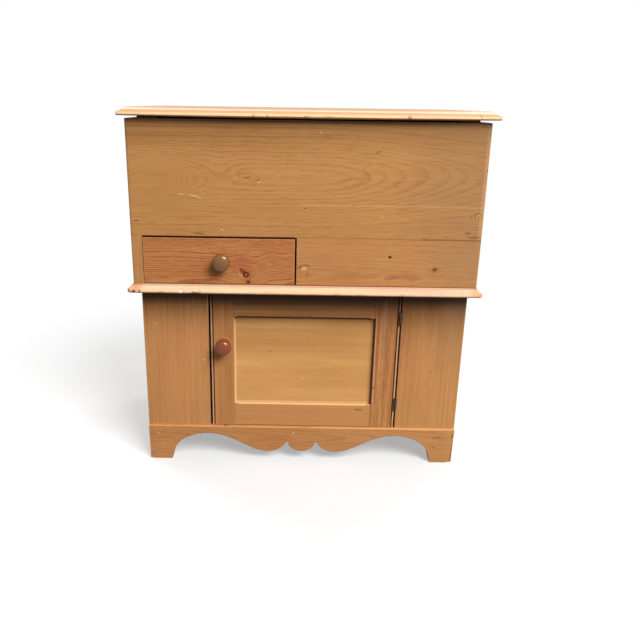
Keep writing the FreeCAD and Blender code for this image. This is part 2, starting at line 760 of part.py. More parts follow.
def lower_case(hinges):
    stile_z = (S.plinth_height, case_top)
    stile_y = (case_front, case_inside_front)
    node("case_stile_left", front_board("stile_left", (-half_case, stile_inside_left), stile_y,
                                        stile_z, S.stile_arris, True, False))
    whole = front_board("stile_right", (stile_inside_right, half_case), stile_y, stile_z,
                        S.stile_arris, False, True)
    cutters = [tool for barrel, case_seat, _ in hinges for tool in (barrel, case_seat)]
    node("case_stile_right", cut("stile_right_seated", whole, cutters))
    node("apron", apron())
    node("case_side_left", case_side("lower_side_left", -half_case))
    node("case_side_right", case_side("lower_side_right", half_case_inside))
    inside_y = (case_inside_front, case_inside_back)
    node("cupboard_floor", block("floor", (-half_case_inside, half_case_inside), inside_y,
                                 (floor_under, S.plinth_height)))
    block_back = case_inside_front + S.block_width
    for side, sign in (("left", -1), ("right", 1)):
        ledger_x = sorted_pair(half_case_inside * sign, (half_case_inside - S.ledger_width) * sign)
        block_x = sorted_pair(half_case_inside * sign, (half_case_inside - S.block_width) * sign)
        node("floor_ledger_" + side, block("ledger_" + side, ledger_x, (block_back, case_inside_back),
                                           (floor_under - S.ledger_width, floor_under)))
        node("foot_block_" + side, block("block_" + side, block_x, (case_inside_front, block_back),
                                         (S.block_lift, floor_under)))
    plank = half_case * 2 / len(BACK_PLANKS)
    for index, place in enumerate(BACK_PLANKS):
        edge = plank * index - half_case
        node("back_plank_" + place, block("plank_" + place, (edge, edge + plank), (case_inside_back, back),
                                          (floor_under, case_top)))
    stop_y = case_inside_front + S.landing_gap
    node("door_stop", block("stop_over_door", (-S.door_stop_width / 2, S.door_stop_width / 2),
                            (stop_y, stop_y + S.door_stop_thick), (case_top - S.door_stop_height, case_top)))


def sorted_pair(first, second):
    return (first, second) if first.value < second.value else (second, first)


# ---------------------------------------------------------------------------------------------------------
# Door: stiles with a quirk bead, tenoned rails, and a panel in grooves

def beaded_stile(name, place, wide, bead_left):
    """A stile with a bead and quirk on its outer front edge and the panel groove in its inner edge."""
    thick = S.stile_thick
    bead = S.bead_radius * 2
    quirk_end = bead + S.quirk_width
    groove = (S.panel_recess, S.panel_recess + S.groove_width)
    inner = wide - S.groove_depth
    left = [(ZERO, S.bead_radius), (S.bead_radius, ZERO, S.bead_radius, "left"),
            (bead, S.bead_radius, S.bead_radius, "left"), (bead, S.quirk_depth),
            (quirk_end, S.quirk_depth), (quirk_end, ZERO), (wide, ZERO),
            (wide, groove[0]), (inner, groove[0]), (inner, groove[1]), (wide, groove[1]), (wide, thick),
            (ZERO, thick)]
    path = left
    if not bead_left:
        path = [(wide - corner[0], corner[1]) for corner in reversed(left)]
        path[-2:] = [corner + (S.bead_radius, "left") for corner in path[-2:]]
    return extruded(name, PLANE_Z, path, door_high - door_low, (place, case_front, door_low))


def tenon_spans():
    """The height of each rail's tenon, short of the rail's outer edge by its shoulder."""
    low = (door_low + S.tenon_shoulder, panel_low - S.groove_depth)
    high = (panel_high + S.groove_depth, door_high - S.tenon_shoulder)
    return {"bottom": low, "top": high}


def rail(level, z, groove_z):
    """A rail with a tenon at each end and the panel groove in its inner edge."""
    tenon_y = (groove_front, groove_back)
    tenon_z = tenon_spans()[level]
    body = block("rail_%s_body" % level, (panel_left, panel_right), (case_front, case_inside_front), z)
    tenon_x = (panel_left - S.tenon_length, panel_right + S.tenon_length)
    tenon = block("rail_%s_tenons" % level, tenon_x, tenon_y, tenon_z)
    groove = block("rail_%s_groove" % level, (panel_left, panel_right), tenon_y, groove_z)
    return cut("rail_" + level, fused("rail_%s_whole" % level, [body, tenon]), [groove])


def door_panel():
    """A flat-fronted panel: a tongue all round in the grooves, and a bevelled field behind."""
    tongue = S.groove_depth - S.panel_slack
    wide = panel_right - panel_left + tongue * 2
    tall = panel_high - panel_low + tongue * 2
    body = new_body("panel_board", panel_left - tongue, groove_front, panel_low - tongue)
    sheet_path = [(wide, tall), (ZERO, tall), (ZERO, ZERO), (wide, ZERO)]
    face = draw_path(new_sketch(body, "panel_outline", PLANE_Y), sheet_path)
    pad(body, face, S.groove_width, "panel_tongue", True)
    inner = [(wide - tongue, tall - tongue), (tongue, tall - tongue), (tongue, tongue),
             (wide - tongue, tongue)]
    top = [(corner[0], corner[1]) for corner in (
        (wide - tongue - S.panel_bevel, tall - tongue - S.panel_bevel),
        (tongue + S.panel_bevel, tall - tongue - S.panel_bevel),
        (tongue + S.panel_bevel, tongue + S.panel_bevel),
        (wide - tongue - S.panel_bevel, tongue + S.panel_bevel))]
    foot = draw_path(new_sketch(body, "panel_field_foot", PLANE_Y), inner)
    bind(foot, "AttachmentOffset.Base.z", -S.groove_width)
    crown = draw_path(new_sketch(body, "panel_field_top", PLANE_Y), top)
    bind(crown, "AttachmentOffset.Base.z", -S.groove_width - S.panel_field)
    doc.recompute()
    field = body.newObject("PartDesign::AdditiveLoft", "panel_field")
    field.Profile = foot
    field.Sections = [crown]
    field.Ruled = True
    body.Tip = field
    return body


def door(hinges):
    spans = tenon_spans()
    tenon_y = (groove_front, groove_back)
    left_mortises = [block("mortise_left_" + level, (panel_left - S.tenon_length, panel_left), tenon_y, z)
                     for level, z in spans.items()]
    right_mortises = [block("mortise_right_" + level, (panel_right, panel_right + S.tenon_length), tenon_y, z)
                      for level, z in spans.items()]
    spindle_hole = rod("spindle_hole", "y", (knob_x, knob_z), (case_front, case_inside_front),
                       S.shank_radius + S.shank_fit)
    left = beaded_stile("stile_at_knob", door_left, S.knob_stile_width, True)
    node("door_stile_left", cut("stile_at_knob_cut", left, left_mortises + [spindle_hole]))
    right = beaded_stile("stile_at_hinge", panel_right, S.hinge_stile_width, False)
    seats = [tool for barrel, _, door_seat in hinges for tool in (barrel, door_seat)]
    node("door_stile_right", cut("stile_at_hinge_cut", right, right_mortises + seats))
    node("door_rail_bottom", rail("bottom", (door_low, panel_low), (panel_low - S.groove_depth, panel_low)))
    node("door_rail_top", rail("top", (panel_high, door_high), (panel_high, panel_high + S.groove_depth)))
    node("door_panel", door_panel())


# ---------------------------------------------------------------------------------------------------------
# Turned knobs. A knob is drawn as half its outline and turned about its own axis, which runs to the back.

def knob_body(name, place, radius, length, base_radius, shank):
    """A mushroom knob: a crowned head with a deep rim, a neck, a base, and a shank into the wood."""
    body = new_body(name, *place)
    head = -length
    crown = []
    for step in range(1, CROWN_STEPS + 1):
        share = step / CROWN_STEPS
        crown.append((head + S.knob_crown * share ** 2, radius * share))
    rim = head + S.knob_crown + S.knob_rim
    path = [(shank, ZERO), (head, ZERO)] + crown
    path += [(rim, radius),
             (rim + S.knob_under, S.knob_neck_radius),
             (-S.knob_base_thick, S.knob_neck_radius),
             (-S.knob_base_thick, base_radius),
             (ZERO, base_radius),
             (ZERO, S.shank_radius),
             (shank, S.shank_radius)]
    sketch = draw_path(new_sketch(body, name + "_outline", PLANE_X), path)
    turned = body.newObject("PartDesign::Revolution", name + "_turned")
    turned.Profile = sketch
    turned.ReferenceAxis = (sketch, ["H_Axis"])
    turned.Angle = 360
    return body


def knobs():
    on_drawer = (drawer_knob_x, front, drawer_knob_z)
    node("drawer_knob", knob_body("knob_on_drawer", on_drawer, S.drawer_knob_radius, S.drawer_knob_length,
                                  S.drawer_knob_base, S.shank_length))
    on_door = (knob_x, case_front, knob_z)
    turned = knob_body("knob_on_door", on_door, S.door_knob_radius, S.door_knob_length,
                       S.door_knob_rose, S.stile_thick)
    square = S.spindle_square / 2
    button_y = (case_inside_front + S.button_gap, case_inside_front + S.button_gap + S.button_thick)
    square_x = (knob_x - square, knob_x + square)
    square_z = (knob_z - square, knob_z + square)
    end = block("spindle_end", square_x, (case_inside_front, button_y[1]), square_z)
    node("door_knob", fused("knob_and_spindle", [turned, end]))
    half = S.button_width / 2
    button = block("button_bar", (knob_x - half, knob_x + half), button_y,
                   (knob_z - S.button_length + half, knob_z + half))
    hole = block("button_hole", square_x, button_y, square_z)
    node("turn_button", cut("button", button, [hole]))


# ---------------------------------------------------------------------------------------------------------
# Drawer: tails on the sides, half-blind into the front and through the back

def tail_edge(at, reach, low, high, rising):
    """Corners of one end of a drawer side: tails that widen from the shoulder to their ends."""
    pitch = (high - low) / TAILS
    corners = []
    for index in range(TAILS):
        bottom = low + pitch * (index + TAIL_MARGIN)
        top = low + pitch * (index + 1 - TAIL_MARGIN)
        corners += [(at, bottom), (at + reach, bottom - S.tail_flare), (at + reach, top + S.tail_flare),
                    (at, top)]
    return corners if rising else corners[::-1]


def drawer_side(name, low_x):
    """A side with its tails, drawn from the outside of the drawer."""
    tall = drawer_side_high - drawer_low
    shoulder = S.drawer_front_thick
    length = drawer_length
    back_low = S.drawer_bottom_lift + S.drawer_bottom_thick
    back_high = drawer_back_high - drawer_low
    back_shoulder = length - S.drawer_back_thick
    path = [(back_shoulder, tall), (shoulder, tall)]
    path += tail_edge(shoulder, S.drawer_lap - S.drawer_front_thick, ZERO, tall, False)
    path += [(shoulder, ZERO), (length, ZERO), (length, back_low), (back_shoulder, back_low)]
    path += tail_edge(back_shoulder, S.drawer_back_thick, back_low, back_high, True)
    path += [(back_shoulder, back_high)]
    return extruded(name, PLANE_X, path, S.drawer_side_thick, (low_x, front, drawer_low))


def drawer():
    left = drawer_side("tails_left", drawer_left)
    right = drawer_side("tails_right", drawer_right - S.drawer_side_thick)
    bottom_z = (drawer_low + S.drawer_bottom_lift, drawer_low + S.drawer_bottom_lift + S.drawer_bottom_thick)
    inside = (drawer_left + S.drawer_side_thick, drawer_right - S.drawer_side_thick)
    bottom_x = (inside[0] - S.drawer_groove, inside[1] + S.drawer_groove)
    front_back = front + S.drawer_front_thick
    bottom = block("bottom_board", bottom_x, (front_back - S.drawer_groove, drawer_end), bottom_z)
    node("drawer_bottom", bottom)
    front_blank = block("drawer_front_blank", (drawer_left, drawer_right), (front, front_back),
                        (drawer_low, drawer_high))
    back_blank = block("drawer_back_blank", (drawer_left, drawer_right),
                       (drawer_end - S.drawer_back_thick, drawer_end), (bottom_z[1], drawer_back_high))
    hole = rod("drawer_knob_hole", "y", (drawer_knob_x, drawer_knob_z), (front, front + S.shank_length),
               S.shank_radius + S.shank_fit)
    node("drawer_front", cut("drawer_front_cut", front_blank, [left, right, bottom, hole]))
    node("drawer_back", cut("drawer_back_cut", back_blank, [left, right]))
    node("drawer_side_left", cut("drawer_left_cut", left, [bottom]))
    node("drawer_side_right", cut("drawer_right_cut", right, [bottom]))


# ---------------------------------------------------------------------------------------------------------

def check_and_write():
    """Refuses a failed feature or a broken solid, then writes one file for each piece."""
    doc.recompute()
    failed = [thing.Name for thing in doc.Objects if {"Invalid", "Error"} & set(thing.State)]
    for label, thing in nodes.items():
        shape = thing.Shape
        if shape.isNull() or not shape.isValid() or len(shape.Solids) != 1:
            failed.append(label)
    if failed:
        raise RuntimeError("failed: " + ", ".join(failed))
    os.makedirs("parts", exist_ok=True)
    for label, thing in nodes.items():
        thing.Shape.exportStep("parts/%s.step" % label)
    print(len(nodes), "pieces written")


upper_box()
lid()
lid_hinge("left", S.lid_hinge_inset - half_box)
lid_hinge("right", half_box - S.lid_hinge_inset)
door_hinges = [door_hinge("upper", case_top - S.door_hinge_drop),
               door_hinge("lower", S.plinth_height + S.door_hinge_lift)]
lower_case(door_hinges)
door(door_hinges)
knobs()
drawer()
check_and_write()
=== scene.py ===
import json
import math

import bmesh
import bpy
from mathutils import Matrix, Vector, noise


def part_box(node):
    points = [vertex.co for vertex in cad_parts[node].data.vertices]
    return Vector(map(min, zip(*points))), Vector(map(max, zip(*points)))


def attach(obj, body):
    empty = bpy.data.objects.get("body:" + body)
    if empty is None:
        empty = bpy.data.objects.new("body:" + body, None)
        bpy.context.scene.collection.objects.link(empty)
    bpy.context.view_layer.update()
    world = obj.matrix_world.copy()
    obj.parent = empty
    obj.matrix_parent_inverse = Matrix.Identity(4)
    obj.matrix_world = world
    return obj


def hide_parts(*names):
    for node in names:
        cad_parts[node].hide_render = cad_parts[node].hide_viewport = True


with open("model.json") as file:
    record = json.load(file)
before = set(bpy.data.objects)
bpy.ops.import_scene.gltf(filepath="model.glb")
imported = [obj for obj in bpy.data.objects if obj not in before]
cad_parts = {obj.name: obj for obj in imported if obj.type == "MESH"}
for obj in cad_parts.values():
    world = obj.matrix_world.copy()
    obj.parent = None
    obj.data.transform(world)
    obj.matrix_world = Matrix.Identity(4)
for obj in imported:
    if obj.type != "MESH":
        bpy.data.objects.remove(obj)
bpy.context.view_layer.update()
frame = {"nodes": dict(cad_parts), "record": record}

MM = 0.001
NODES = frame["nodes"]
BODY_OF = {node: body for body, nodes in frame["record"]["behaviour"]["bodies"].items() for node in nodes}
SLOT_OF = {row["node"]: row["material_slot"] for row in frame["record"]["subparts"]}

AXES = "xyz"
# Where the fronts of the box and of the cupboard lie, in millimetres
BOX_FRONT = -207.775
CASE_FRONT = -193.775
# The depth of a material's relief at a height of 1, in metres
RELIEF = 0.001


# ---- Shader values, written as Python expressions

def paint(red, green, blue):
    """A colour as it is mixed on a screen, 0 to 255, turned into the light that it gives back."""
    def light(level):
        level /= 255
        return level / 12.92 if level <= 0.04045 else ((level + 0.055) / 1.055) ** 2.4
    return (light(red), light(green), light(blue), 1.0)


class Value:
    """The output socket of a shader node. Sums and products of values add their Math nodes."""

    def __init__(self, finish, socket):
        self.finish = finish
        self.socket = socket

    def math(self, operation, *others, clamp=False):
        sockets = dict(enumerate((self,) + others))
        return self.finish.node("ShaderNodeMath", {"operation": operation, "use_clamp": clamp}, sockets)

    def turned(self, operation, other):
        return self.finish.node("ShaderNodeMath", {"operation": operation}, {0: other, 1: self})

    def __add__(self, other):
        return self.math("ADD", other)

    def __sub__(self, other):
        return self.math("SUBTRACT", other)

    def __mul__(self, other):
        return self.math("MULTIPLY", other)

    def __truediv__(self, other):
        return self.math("DIVIDE", other)

    def __rsub__(self, other):
        return self.turned("SUBTRACT", other)

    def __rtruediv__(self, other):
        return self.turned("DIVIDE", other)

    __radd__ = __add__
    __rmul__ = __mul__


class Finish:
    """A material under construction."""

    def __init__(self, name):
        self.material = bpy.data.materials.new(name)
        self.material.use_nodes = True
        self.tree = self.material.node_tree
        self.tree.nodes.clear()

    @classmethod
    def around(cls, tree):
        """The same node calls for a tree that isn't a material's, such as the world's."""
        finish = cls.__new__(cls)
        finish.tree = tree
        return finish

    def node(self, kind, settings, sockets, out=0):
        """Adds a node, sets its settings first and then its sockets, and returns one of its outputs."""
        made = self.tree.nodes.new(kind)
        for name, setting in settings.items():
            if name == "stops":
                ramp = made.color_ramp
                while len(ramp.elements) < len(setting):
                    ramp.elements.new(0.5)
                for element, (place, colour) in zip(ramp.elements, setting):
                    element.position = place
                    element.color = colour
            else:
                setattr(made, name, setting)
        for name, value in sockets.items():
            if isinstance(value, Value):
                self.tree.links.new(value.socket, made.inputs[name])
            else:
                made.inputs[name].default_value = value
        return Value(self, made.outputs[out]) if made.outputs else None

    def place(self, centre=(0, 0, 0)):
        """The object's own coordinates, from a centre."""
        raw = self.node("ShaderNodeTexCoord", {}, {}, "Object")
        return self.node("ShaderNodeMapping", {"vector_type": "TEXTURE"}, {"Vector": raw, "Location": centre})

    def stretch(self, point, scale):
        return self.node("ShaderNodeVectorMath", {"operation": "MULTIPLY"}, {0: point, 1: scale})

    def parts(self, point):
        return [self.node("ShaderNodeSeparateXYZ", {}, {0: point}, letter) for letter in "XYZ"]

    def cloud(self, point, scale, detail=2.0, rough=0.5):
        """Smooth noise between 0 and 1."""
        return self.node("ShaderNodeTexNoise", {}, {"Vector": point, "Scale": scale, "Detail": detail,
                                                    "Roughness": rough})

    def line_cloud(self, value, scale, detail=1.0):
        """Noise that changes along one value alone."""
        return self.node("ShaderNodeTexNoise", {"noise_dimensions": "1D"},
                         {"W": value, "Scale": scale, "Detail": detail})

    def step(self, value, low, high):
        """Rises smoothly from 0 at low to 1 at high, or falls if low is the larger."""
        return self.node("ShaderNodeMapRange", {"interpolation_type": "SMOOTHSTEP"},
                         {"Value": value, "From Min": low, "From Max": high})

    def from_to(self, share, value, start, stop, soft):
        """The share where the value is from start to stop, and 0 outside them, in millimetres."""
        share = share * self.step(value, (start - soft) * MM, start * MM)
        return share * self.step(value, (stop + soft) * MM, stop * MM)

    def mix(self, share, first, second):
        return self.node("ShaderNodeMix", {"data_type": "RGBA"}, {0: share, 6: first, 7: second}, 2)

    def finished(self, colour, roughness, height, metallic=0.0, specular=0.5, coat=0.0, coat_roughness=0.2):
        """Ends the material."""
        bump = self.node("ShaderNodeBump", {}, {"Strength": 1.0, "Distance": RELIEF, "Height": height})
        surface = self.node("ShaderNodeBsdfPrincipled", {}, {
            "Base Color": colour, "Roughness": roughness, "Metallic": metallic, "Normal": bump,
            "Specular IOR Level": specular, "Coat Weight": coat, "Coat Roughness": coat_roughness})
        self.node("ShaderNodeOutputMaterial", {}, {"Surface": surface})
        return self.material


# ---- Pine: rings round a heart that lies behind each board, bent by knots, with what wear has left on it and the light and shade painted on it

# The early and the late wood of each kind of board, as they are mixed on a screen
WOODS = {
    "front": ((201, 147, 90), (172, 115, 65)),
    "low front": ((203, 146, 91), (174, 114, 66)),
    "drawer": ((208, 144, 89), (160, 88, 48)),
    "stile": ((212, 152, 95), (184, 120, 71)),
    "door": ((207, 146, 89), (168, 106, 61)),
    "hinge stile": ((212, 148, 94), (156, 96, 52)),
    "rail": ((214, 154, 96), (188, 125, 74)),
    "panel": ((239, 181, 113), (218, 155, 87)),
    "apron": ((214, 152, 98), (178, 114, 64)),
    "moulding": ((206, 160, 112), (174, 122, 78)),
    "inside": ((200, 164, 120), (170, 126, 86)),
}

# Dark brown for dirt in seams and dents, and for the painted shadow beside some chips
GRIME_AND_SHADE = (70, 42, 22)
# Painted shade for the dark lines of the gaps round the drawer and the door
GAP_SHADE = (58, 20, 8)
SCAR = (238, 205, 160)
RUB = paint(230, 178, 120)
# The brown of the darkening under the mouldings: soot and painted shade together
SMOKE_AND_SHADE = paint(34, 11, 2)
# Painted shade on the faces inside a narrow gap
GAP_FACE_SHADE = paint(44, 15, 6)
VEIN = paint(216, 152, 110)

# The share of each step along the grain that a noise sees, which draws it out that way
FAR_DRAW = 0.16
FIBRE_DRAW = 0.03
RAGGED_DRAW = 0.22
FLECK_DRAW = 0.09
THREAD_DRAW = 0.02
# How far the rings wander, in metres: over a hand's breadth, a few centimetres and a few millimetres
BEND = 0.016
SWAY = 0.0030
RAGGED = 0.0016
# What a knot does to the grain round it, as shares of its own half length and half width
KNOT_HUMP = (3.2, 2.6)
KNOT_PUSH = 1.5
KNOT_HALO = (2.3, 2.1)
# The length over which a level heart starts to lean, in metres
LEAN_EASE = 0.03
# Painted shade in a gap, in metres: where it starts and ends behind the face, and from the board's side
GAP_START = (0.0009, 0.0022)
GAP_END = (0.0120, 0.0040)
GAP_SIDE = (0.0030, 0.0012)
# The rubbed arris, and the nose of a moulded edge that its painted bands of highlight and shade cover, in
# metres from their outlines
ARRIS_REACH = (0.0026, 0.0008)
NOSE_REACH = (0.022, 0.012)
# Soft ends, in millimetres
STRIP_END = 0.6
SEAM_END = 8
BEVEL_END = 0.3
BEVEL_SIDE = 0.7
# A mark with a half length under this, in millimetres, has a crisp outline
CRISP = 25


def oval(first, second, centre, size, turn=0.0):
    """0 at the middle of an oval, 1 on its outline and more outside it, in millimetres and degrees."""
    u = first - centre[0] * MM
    v = second - centre[1] * MM
    if turn:
        c = math.cos(math.radians(turn))
        s = math.sin(math.radians(turn))
        u, v = u * c + v * s, v * c - u * s
    u = u / (size[0] * MM)
    v = v / (size[1] * MM)
    return u * u + v * v


def spot(first, second, centre, size, turn=0.0, edge=0.35):
    """1 inside an oval and 0 outside it. The lower the edge, the softer the outline."""
    return first.finish.step(oval(first, second, centre, size, turn), 1.0, edge)


def hump(first, second, centre, size):
    """1 at a point, falling smoothly to 0 in an oval round it."""
    return (oval(first, second, centre, size) * -1.0).math("EXPONENT")


def pine(name, grain, face, wood, contrast, seed, heart=None, depth=60.0, lean=0.02, level_to=None,
         ring=3.2, thin=0.62, wander=1.0, streaks=0.5, flecks=0.35, gloss=0.46, patina=0.5, arris=0.6,
         meets=(), knots=(), waves=(), swirls=(), strips=(), seams=(), smoke=(), bevels=(), gaps=(),
         bands=(), marks=()):
    """
    A board's own wood. The heart of the tree lies depth behind the face and leans by lean along the grain.
    Lengths are in millimetres, and the colours of the rows as they are mixed on a screen.
    level_to: where along the board the heart stops lying level and starts to lean.
    meets: sides of the board, such as "z-", that lie against another board and so have no worn arris.
    knots: (along, across, half length, half width, darkness), with the grain flowing round each.
    waves: (along, across, reach along, reach across, wavelength, height) where the grain rises and falls.
    swirls: (along, across, half length, half width, rings), where the grain closes into loops.
    strips: (from, to, colour, share) of bands right across the grain.
    seams: (from, to, across, sway, half width, colour, share) of a glue line or a crack along the grain, and
    also of painted highlights on beads and painted shade in gaps.
    smoke: (height, reach, share) of the darkening under each moulding: soot and painted shade of the overhang
    together.
    bevels: (place across, width, colour, share, from, to) of the slope round the opening for the panel,
    painted pale as a highlight where it faces the light and dark as shade where it faces away.
    gaps: sides of the board that stand at a narrow gap, whose faces in it are painted dark as shade.
    bands: (lowest, highest, soft edge, colour, share) of painted highlight and shade in bands along a moulded
    edge, pale on the faces turned up to the light and dark on its underside.
    marks: (along, across, half length, half width, turn, colour, share), and how hollow it is, if it is.
    """
    finish = Finish(name)
    point = finish.place()
    letters = dict(zip(AXES, finish.parts(point)))
    side = [letter for letter in AXES if letter not in (grain, face)][0]
    along, across, into = letters[grain], letters[side], letters[face]
    low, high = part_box(name)
    index = {letter: place for place, letter in enumerate(AXES)}
    middle = (low + high) / 2
    if heart is None:
        heart = middle[index[side]] / MM + 12
    # The face that shows is the front one, the upper one, or the outer one of a side board
    front_low = face == "y" or (face == "x" and middle[0] < 0)
    face_at = low[index[face]] if front_low else high[index[face]]
    below_face = (into - face_at) * (1 if front_low else -1)

    def drawn_out(share, shift):
        moved = finish.stretch(point, tuple(share if letter == grain else 1.0 for letter in AXES))
        return finish.node("ShaderNodeVectorMath", {"operation": "ADD"}, {0: moved, 1: shift})

    far = drawn_out(FAR_DRAW, (seed, seed * 1.7, -seed))
    near_grain = drawn_out(FIBRE_DRAW, (seed * 0.3, seed, seed * 0.7))
    bend = finish.cloud(far, 9.0, 2.0, 0.45) - 0.5
    sway = finish.cloud(far, 38.0, 1.0) - 0.5
    ragged_edge = finish.cloud(drawn_out(RAGGED_DRAW, (-seed, seed, seed * 2)), 210.0, 2.0, 0.6) - 0.5
    from_heart = across - heart * MM
    if level_to is None:
        leaning = along - middle[index[grain]]
    else:
        past = along - level_to * MM
        leaning = ((past * past + LEAN_EASE ** 2).math("SQRT") + past) * 0.5
    behind = below_face - depth * MM - leaning * lean
    radius = (from_heart * from_heart + behind * behind).math("SQRT")
    radius = radius + (bend * BEND + sway * SWAY) * wander + ragged_edge * RAGGED
    for a, c, half_long, half_wide, dark in knots:
        size = (half_long * KNOT_HUMP[0], half_wide * KNOT_HUMP[1])
        radius = radius + hump(along, across, (a, c), size) * (half_wide * KNOT_PUSH * MM)
    for a, c, half_long, half_wide, length, rise in waves:
        ripple = ((along + bend * 0.02) * (math.tau / (length * MM))).math("SINE")
        radius = radius + ripple * hump(along, across, (a, c), (half_long, half_wide)) * (rise * MM)
    for a, c, half_long, half_wide, count in swirls:
        radius = radius + hump(along, across, (a, c), (half_long, half_wide)) * (count * ring * MM)
    rings = radius / (ring * MM)
    rings = rings + (finish.line_cloud(rings, 0.37) - 0.5) * 1.4
    # Each ring darkens slowly into its late wood and ends at once, and no two are alike
    part = rings.math("FRACT")
    late = finish.step(part, thin - 0.4, 0.93) * finish.step(part, 1.0, 0.94)
    each = finish.line_cloud(rings.math("FLOOR"), 0.73, 0.0)
    late = late * (each * 1.3 + 0.15) * (finish.step(ragged_edge + bend * 0.5, -0.22, 0.12) * 0.75 + 0.35)
    fibre = finish.cloud(near_grain, 620.0, 3.0, 0.6)
    streak = finish.cloud(near_grain, 120.0, 2.0, 0.55)
    fade = finish.cloud(far, 14.0, 2.0, 0.5)
    early_colour, late_colour = [paint(*wood_colour) for wood_colour in WOODS[wood]]
    share = late * contrast * (fade * 1.2 + 0.3) + (streak - 0.5) * (streaks * 1.2) + 0.26
    colour = finish.mix(share.math("ADD", 0.0, clamp=True), early_colour, late_colour)
    # Patina: warm and pale clouds, flecks, and open pores
    blotch = finish.cloud(far, 11.0, 3.0, 0.6)
    tint = finish.cloud(point, 4.3, 2.0)
    fleck = finish.cloud(drawn_out(FLECK_DRAW, (seed * 0.9, -seed, seed * 0.4)), 330.0, 2.0, 0.6)
    speck = finish.cloud(near_grain, 1500.0, 1.0)
    for amount, layer in (
            (finish.step(blotch, 0.35, 0.75) * (patina * 0.34), paint(150, 90, 42)),
            (finish.step(tint, 0.45, 0.7) * (patina * 0.30), paint(206, 164, 96)),
            (finish.step(fleck, 0.54, 0.70) * flecks, late_colour),
            (finish.step(fleck, 0.46, 0.30) * (flecks * 0.6), early_colour),
            (finish.step(speck, 0.66, 0.8) * 0.2, paint(112, 68, 32)),
            (finish.step(fibre, 0.3, 0.75) * 0.16, late_colour)):
        colour = finish.mix(amount, colour, layer)
    height = late * 0.05 + fibre * 0.045 + blotch * 0.05
    rough = gloss + (fibre - 0.5) * 0.16 - late * 0.05 + (blotch - 0.5) * 0.12
    for a, c, half_long, half_wide, dark in knots:
        if not dark:
            continue
        size = (half_long, half_wide)
        inner = spot(along + sway * 0.002, across, (a, c), size, edge=0.2)
        around = (half_long * KNOT_HALO[0], half_wide * KNOT_HALO[1])
        halo = spot(along, across + sway * 0.004, (a, c), around, edge=0.0)
        whirl = (oval(along, across, (a, c), size) * 3.0 + fibre * 1.5).math("FRACT")
        colour = finish.mix(halo * 0.4 * dark, colour, paint(150, 80, 38))
        core = finish.mix(whirl * 0.5, paint(66, 26, 12), paint(140, 74, 40))
        colour = finish.mix(inner * dark, colour, core)
        height = height - inner * 0.12
    for start, stop, strip_colour, amount in strips:
        inside = finish.step(along, (start - STRIP_END) * MM, (start + STRIP_END) * MM)
        inside = inside * finish.step(along, (stop + STRIP_END) * MM, (stop - STRIP_END) * MM)
        colour = finish.mix(inside * amount * (streak * 0.8 + 0.6), colour, paint(*strip_colour))
    for start, stop, level, swing, half_wide, line_colour, amount in seams:
        wave = (finish.line_cloud(along + seed, 16.0, 2.0) - 0.5) * (swing * MM)
        off = (across - level * MM - wave).math("ABSOLUTE")
        line = finish.step(off, half_wide * 1.7 * MM, half_wide * 0.4 * MM)
        line = finish.from_to(line, along, start, stop, SEAM_END)
        patchy = finish.step(finish.line_cloud(along * 1.7 + seed, 90.0, 2.0), 0.28, 0.5) if swing else 1.0
        colour = finish.mix(line * patchy * amount, colour, paint(*line_colour))
        height = height - line * 0.15
    # Painted shade with soot under a moulding, darkest at its height and gone at its reach below
    for level, reach, share in smoke:
        wavy = letters["z"] + (streak - 0.5) * (reach * 0.15 * MM)
        under = finish.step(wavy, (level - reach) * MM, level * MM)
        colour = finish.mix(under * under * share, colour, SMOKE_AND_SHADE)
    if arris:
        # A side that meets another board is taken a metre away, so that nothing is near it
        low_side, high_side = Vector(low), Vector(high)
        for side_name in meets:
            place = index[side_name[0]]
            if side_name[1] == "-":
                low_side[place] -= 1.0
            else:
                high_side[place] += 1.0
        edges = []
        for place, letter in enumerate(AXES):
            from_low = letters[letter] - low_side[place]
            edges.append(from_low.math("MINIMUM", high_side[place] - letters[letter]))
        least = edges[0].math("MINIMUM", edges[1]).math("MINIMUM", edges[2])
        most = edges[0].math("MAXIMUM", edges[1]).math("MAXIMUM", edges[2])
        second = edges[0] + edges[1] + edges[2] - least - most
        rubbed = finish.step(second + (streak - 0.5) * 0.003, *ARRIS_REACH)
        colour = finish.mix(rubbed * arris, colour, RUB)
        rough = rough + rubbed * 0.06
    # Each slope of the opening is painted pale as a highlight or dark as shade, by which way it faces the
    # light
    for at, width, bevel_colour, amount, start, stop in bevels:
        away = (across - at * MM).math("ABSOLUTE")
        slope = finish.step(away, width * MM, (width - BEVEL_SIDE) * MM)
        slope = finish.from_to(slope * finish.step(below_face, 0.0, 0.0003), along, start, stop, BEVEL_END)
        colour = finish.mix(slope * amount, colour, paint(*bevel_colour))
    # Painted shade on the faces inside the board's narrow gaps
    if gaps:
        deep = finish.step(below_face, *GAP_START) * finish.step(below_face, *GAP_END)
        dark_side = None
        for side_name in gaps:
            place = index[side_name[0]]
            letter = letters[side_name[0]]
            beside = (letter - low[place]) if side_name[1] == "-" else (high[place] - letter)
            near_side = finish.step(beside, *GAP_SIDE)
            dark_side = near_side if dark_side is None else dark_side.math("MAXIMUM", near_side)
        colour = finish.mix(deep * dark_side * 0.9, colour, GAP_FACE_SHADE)
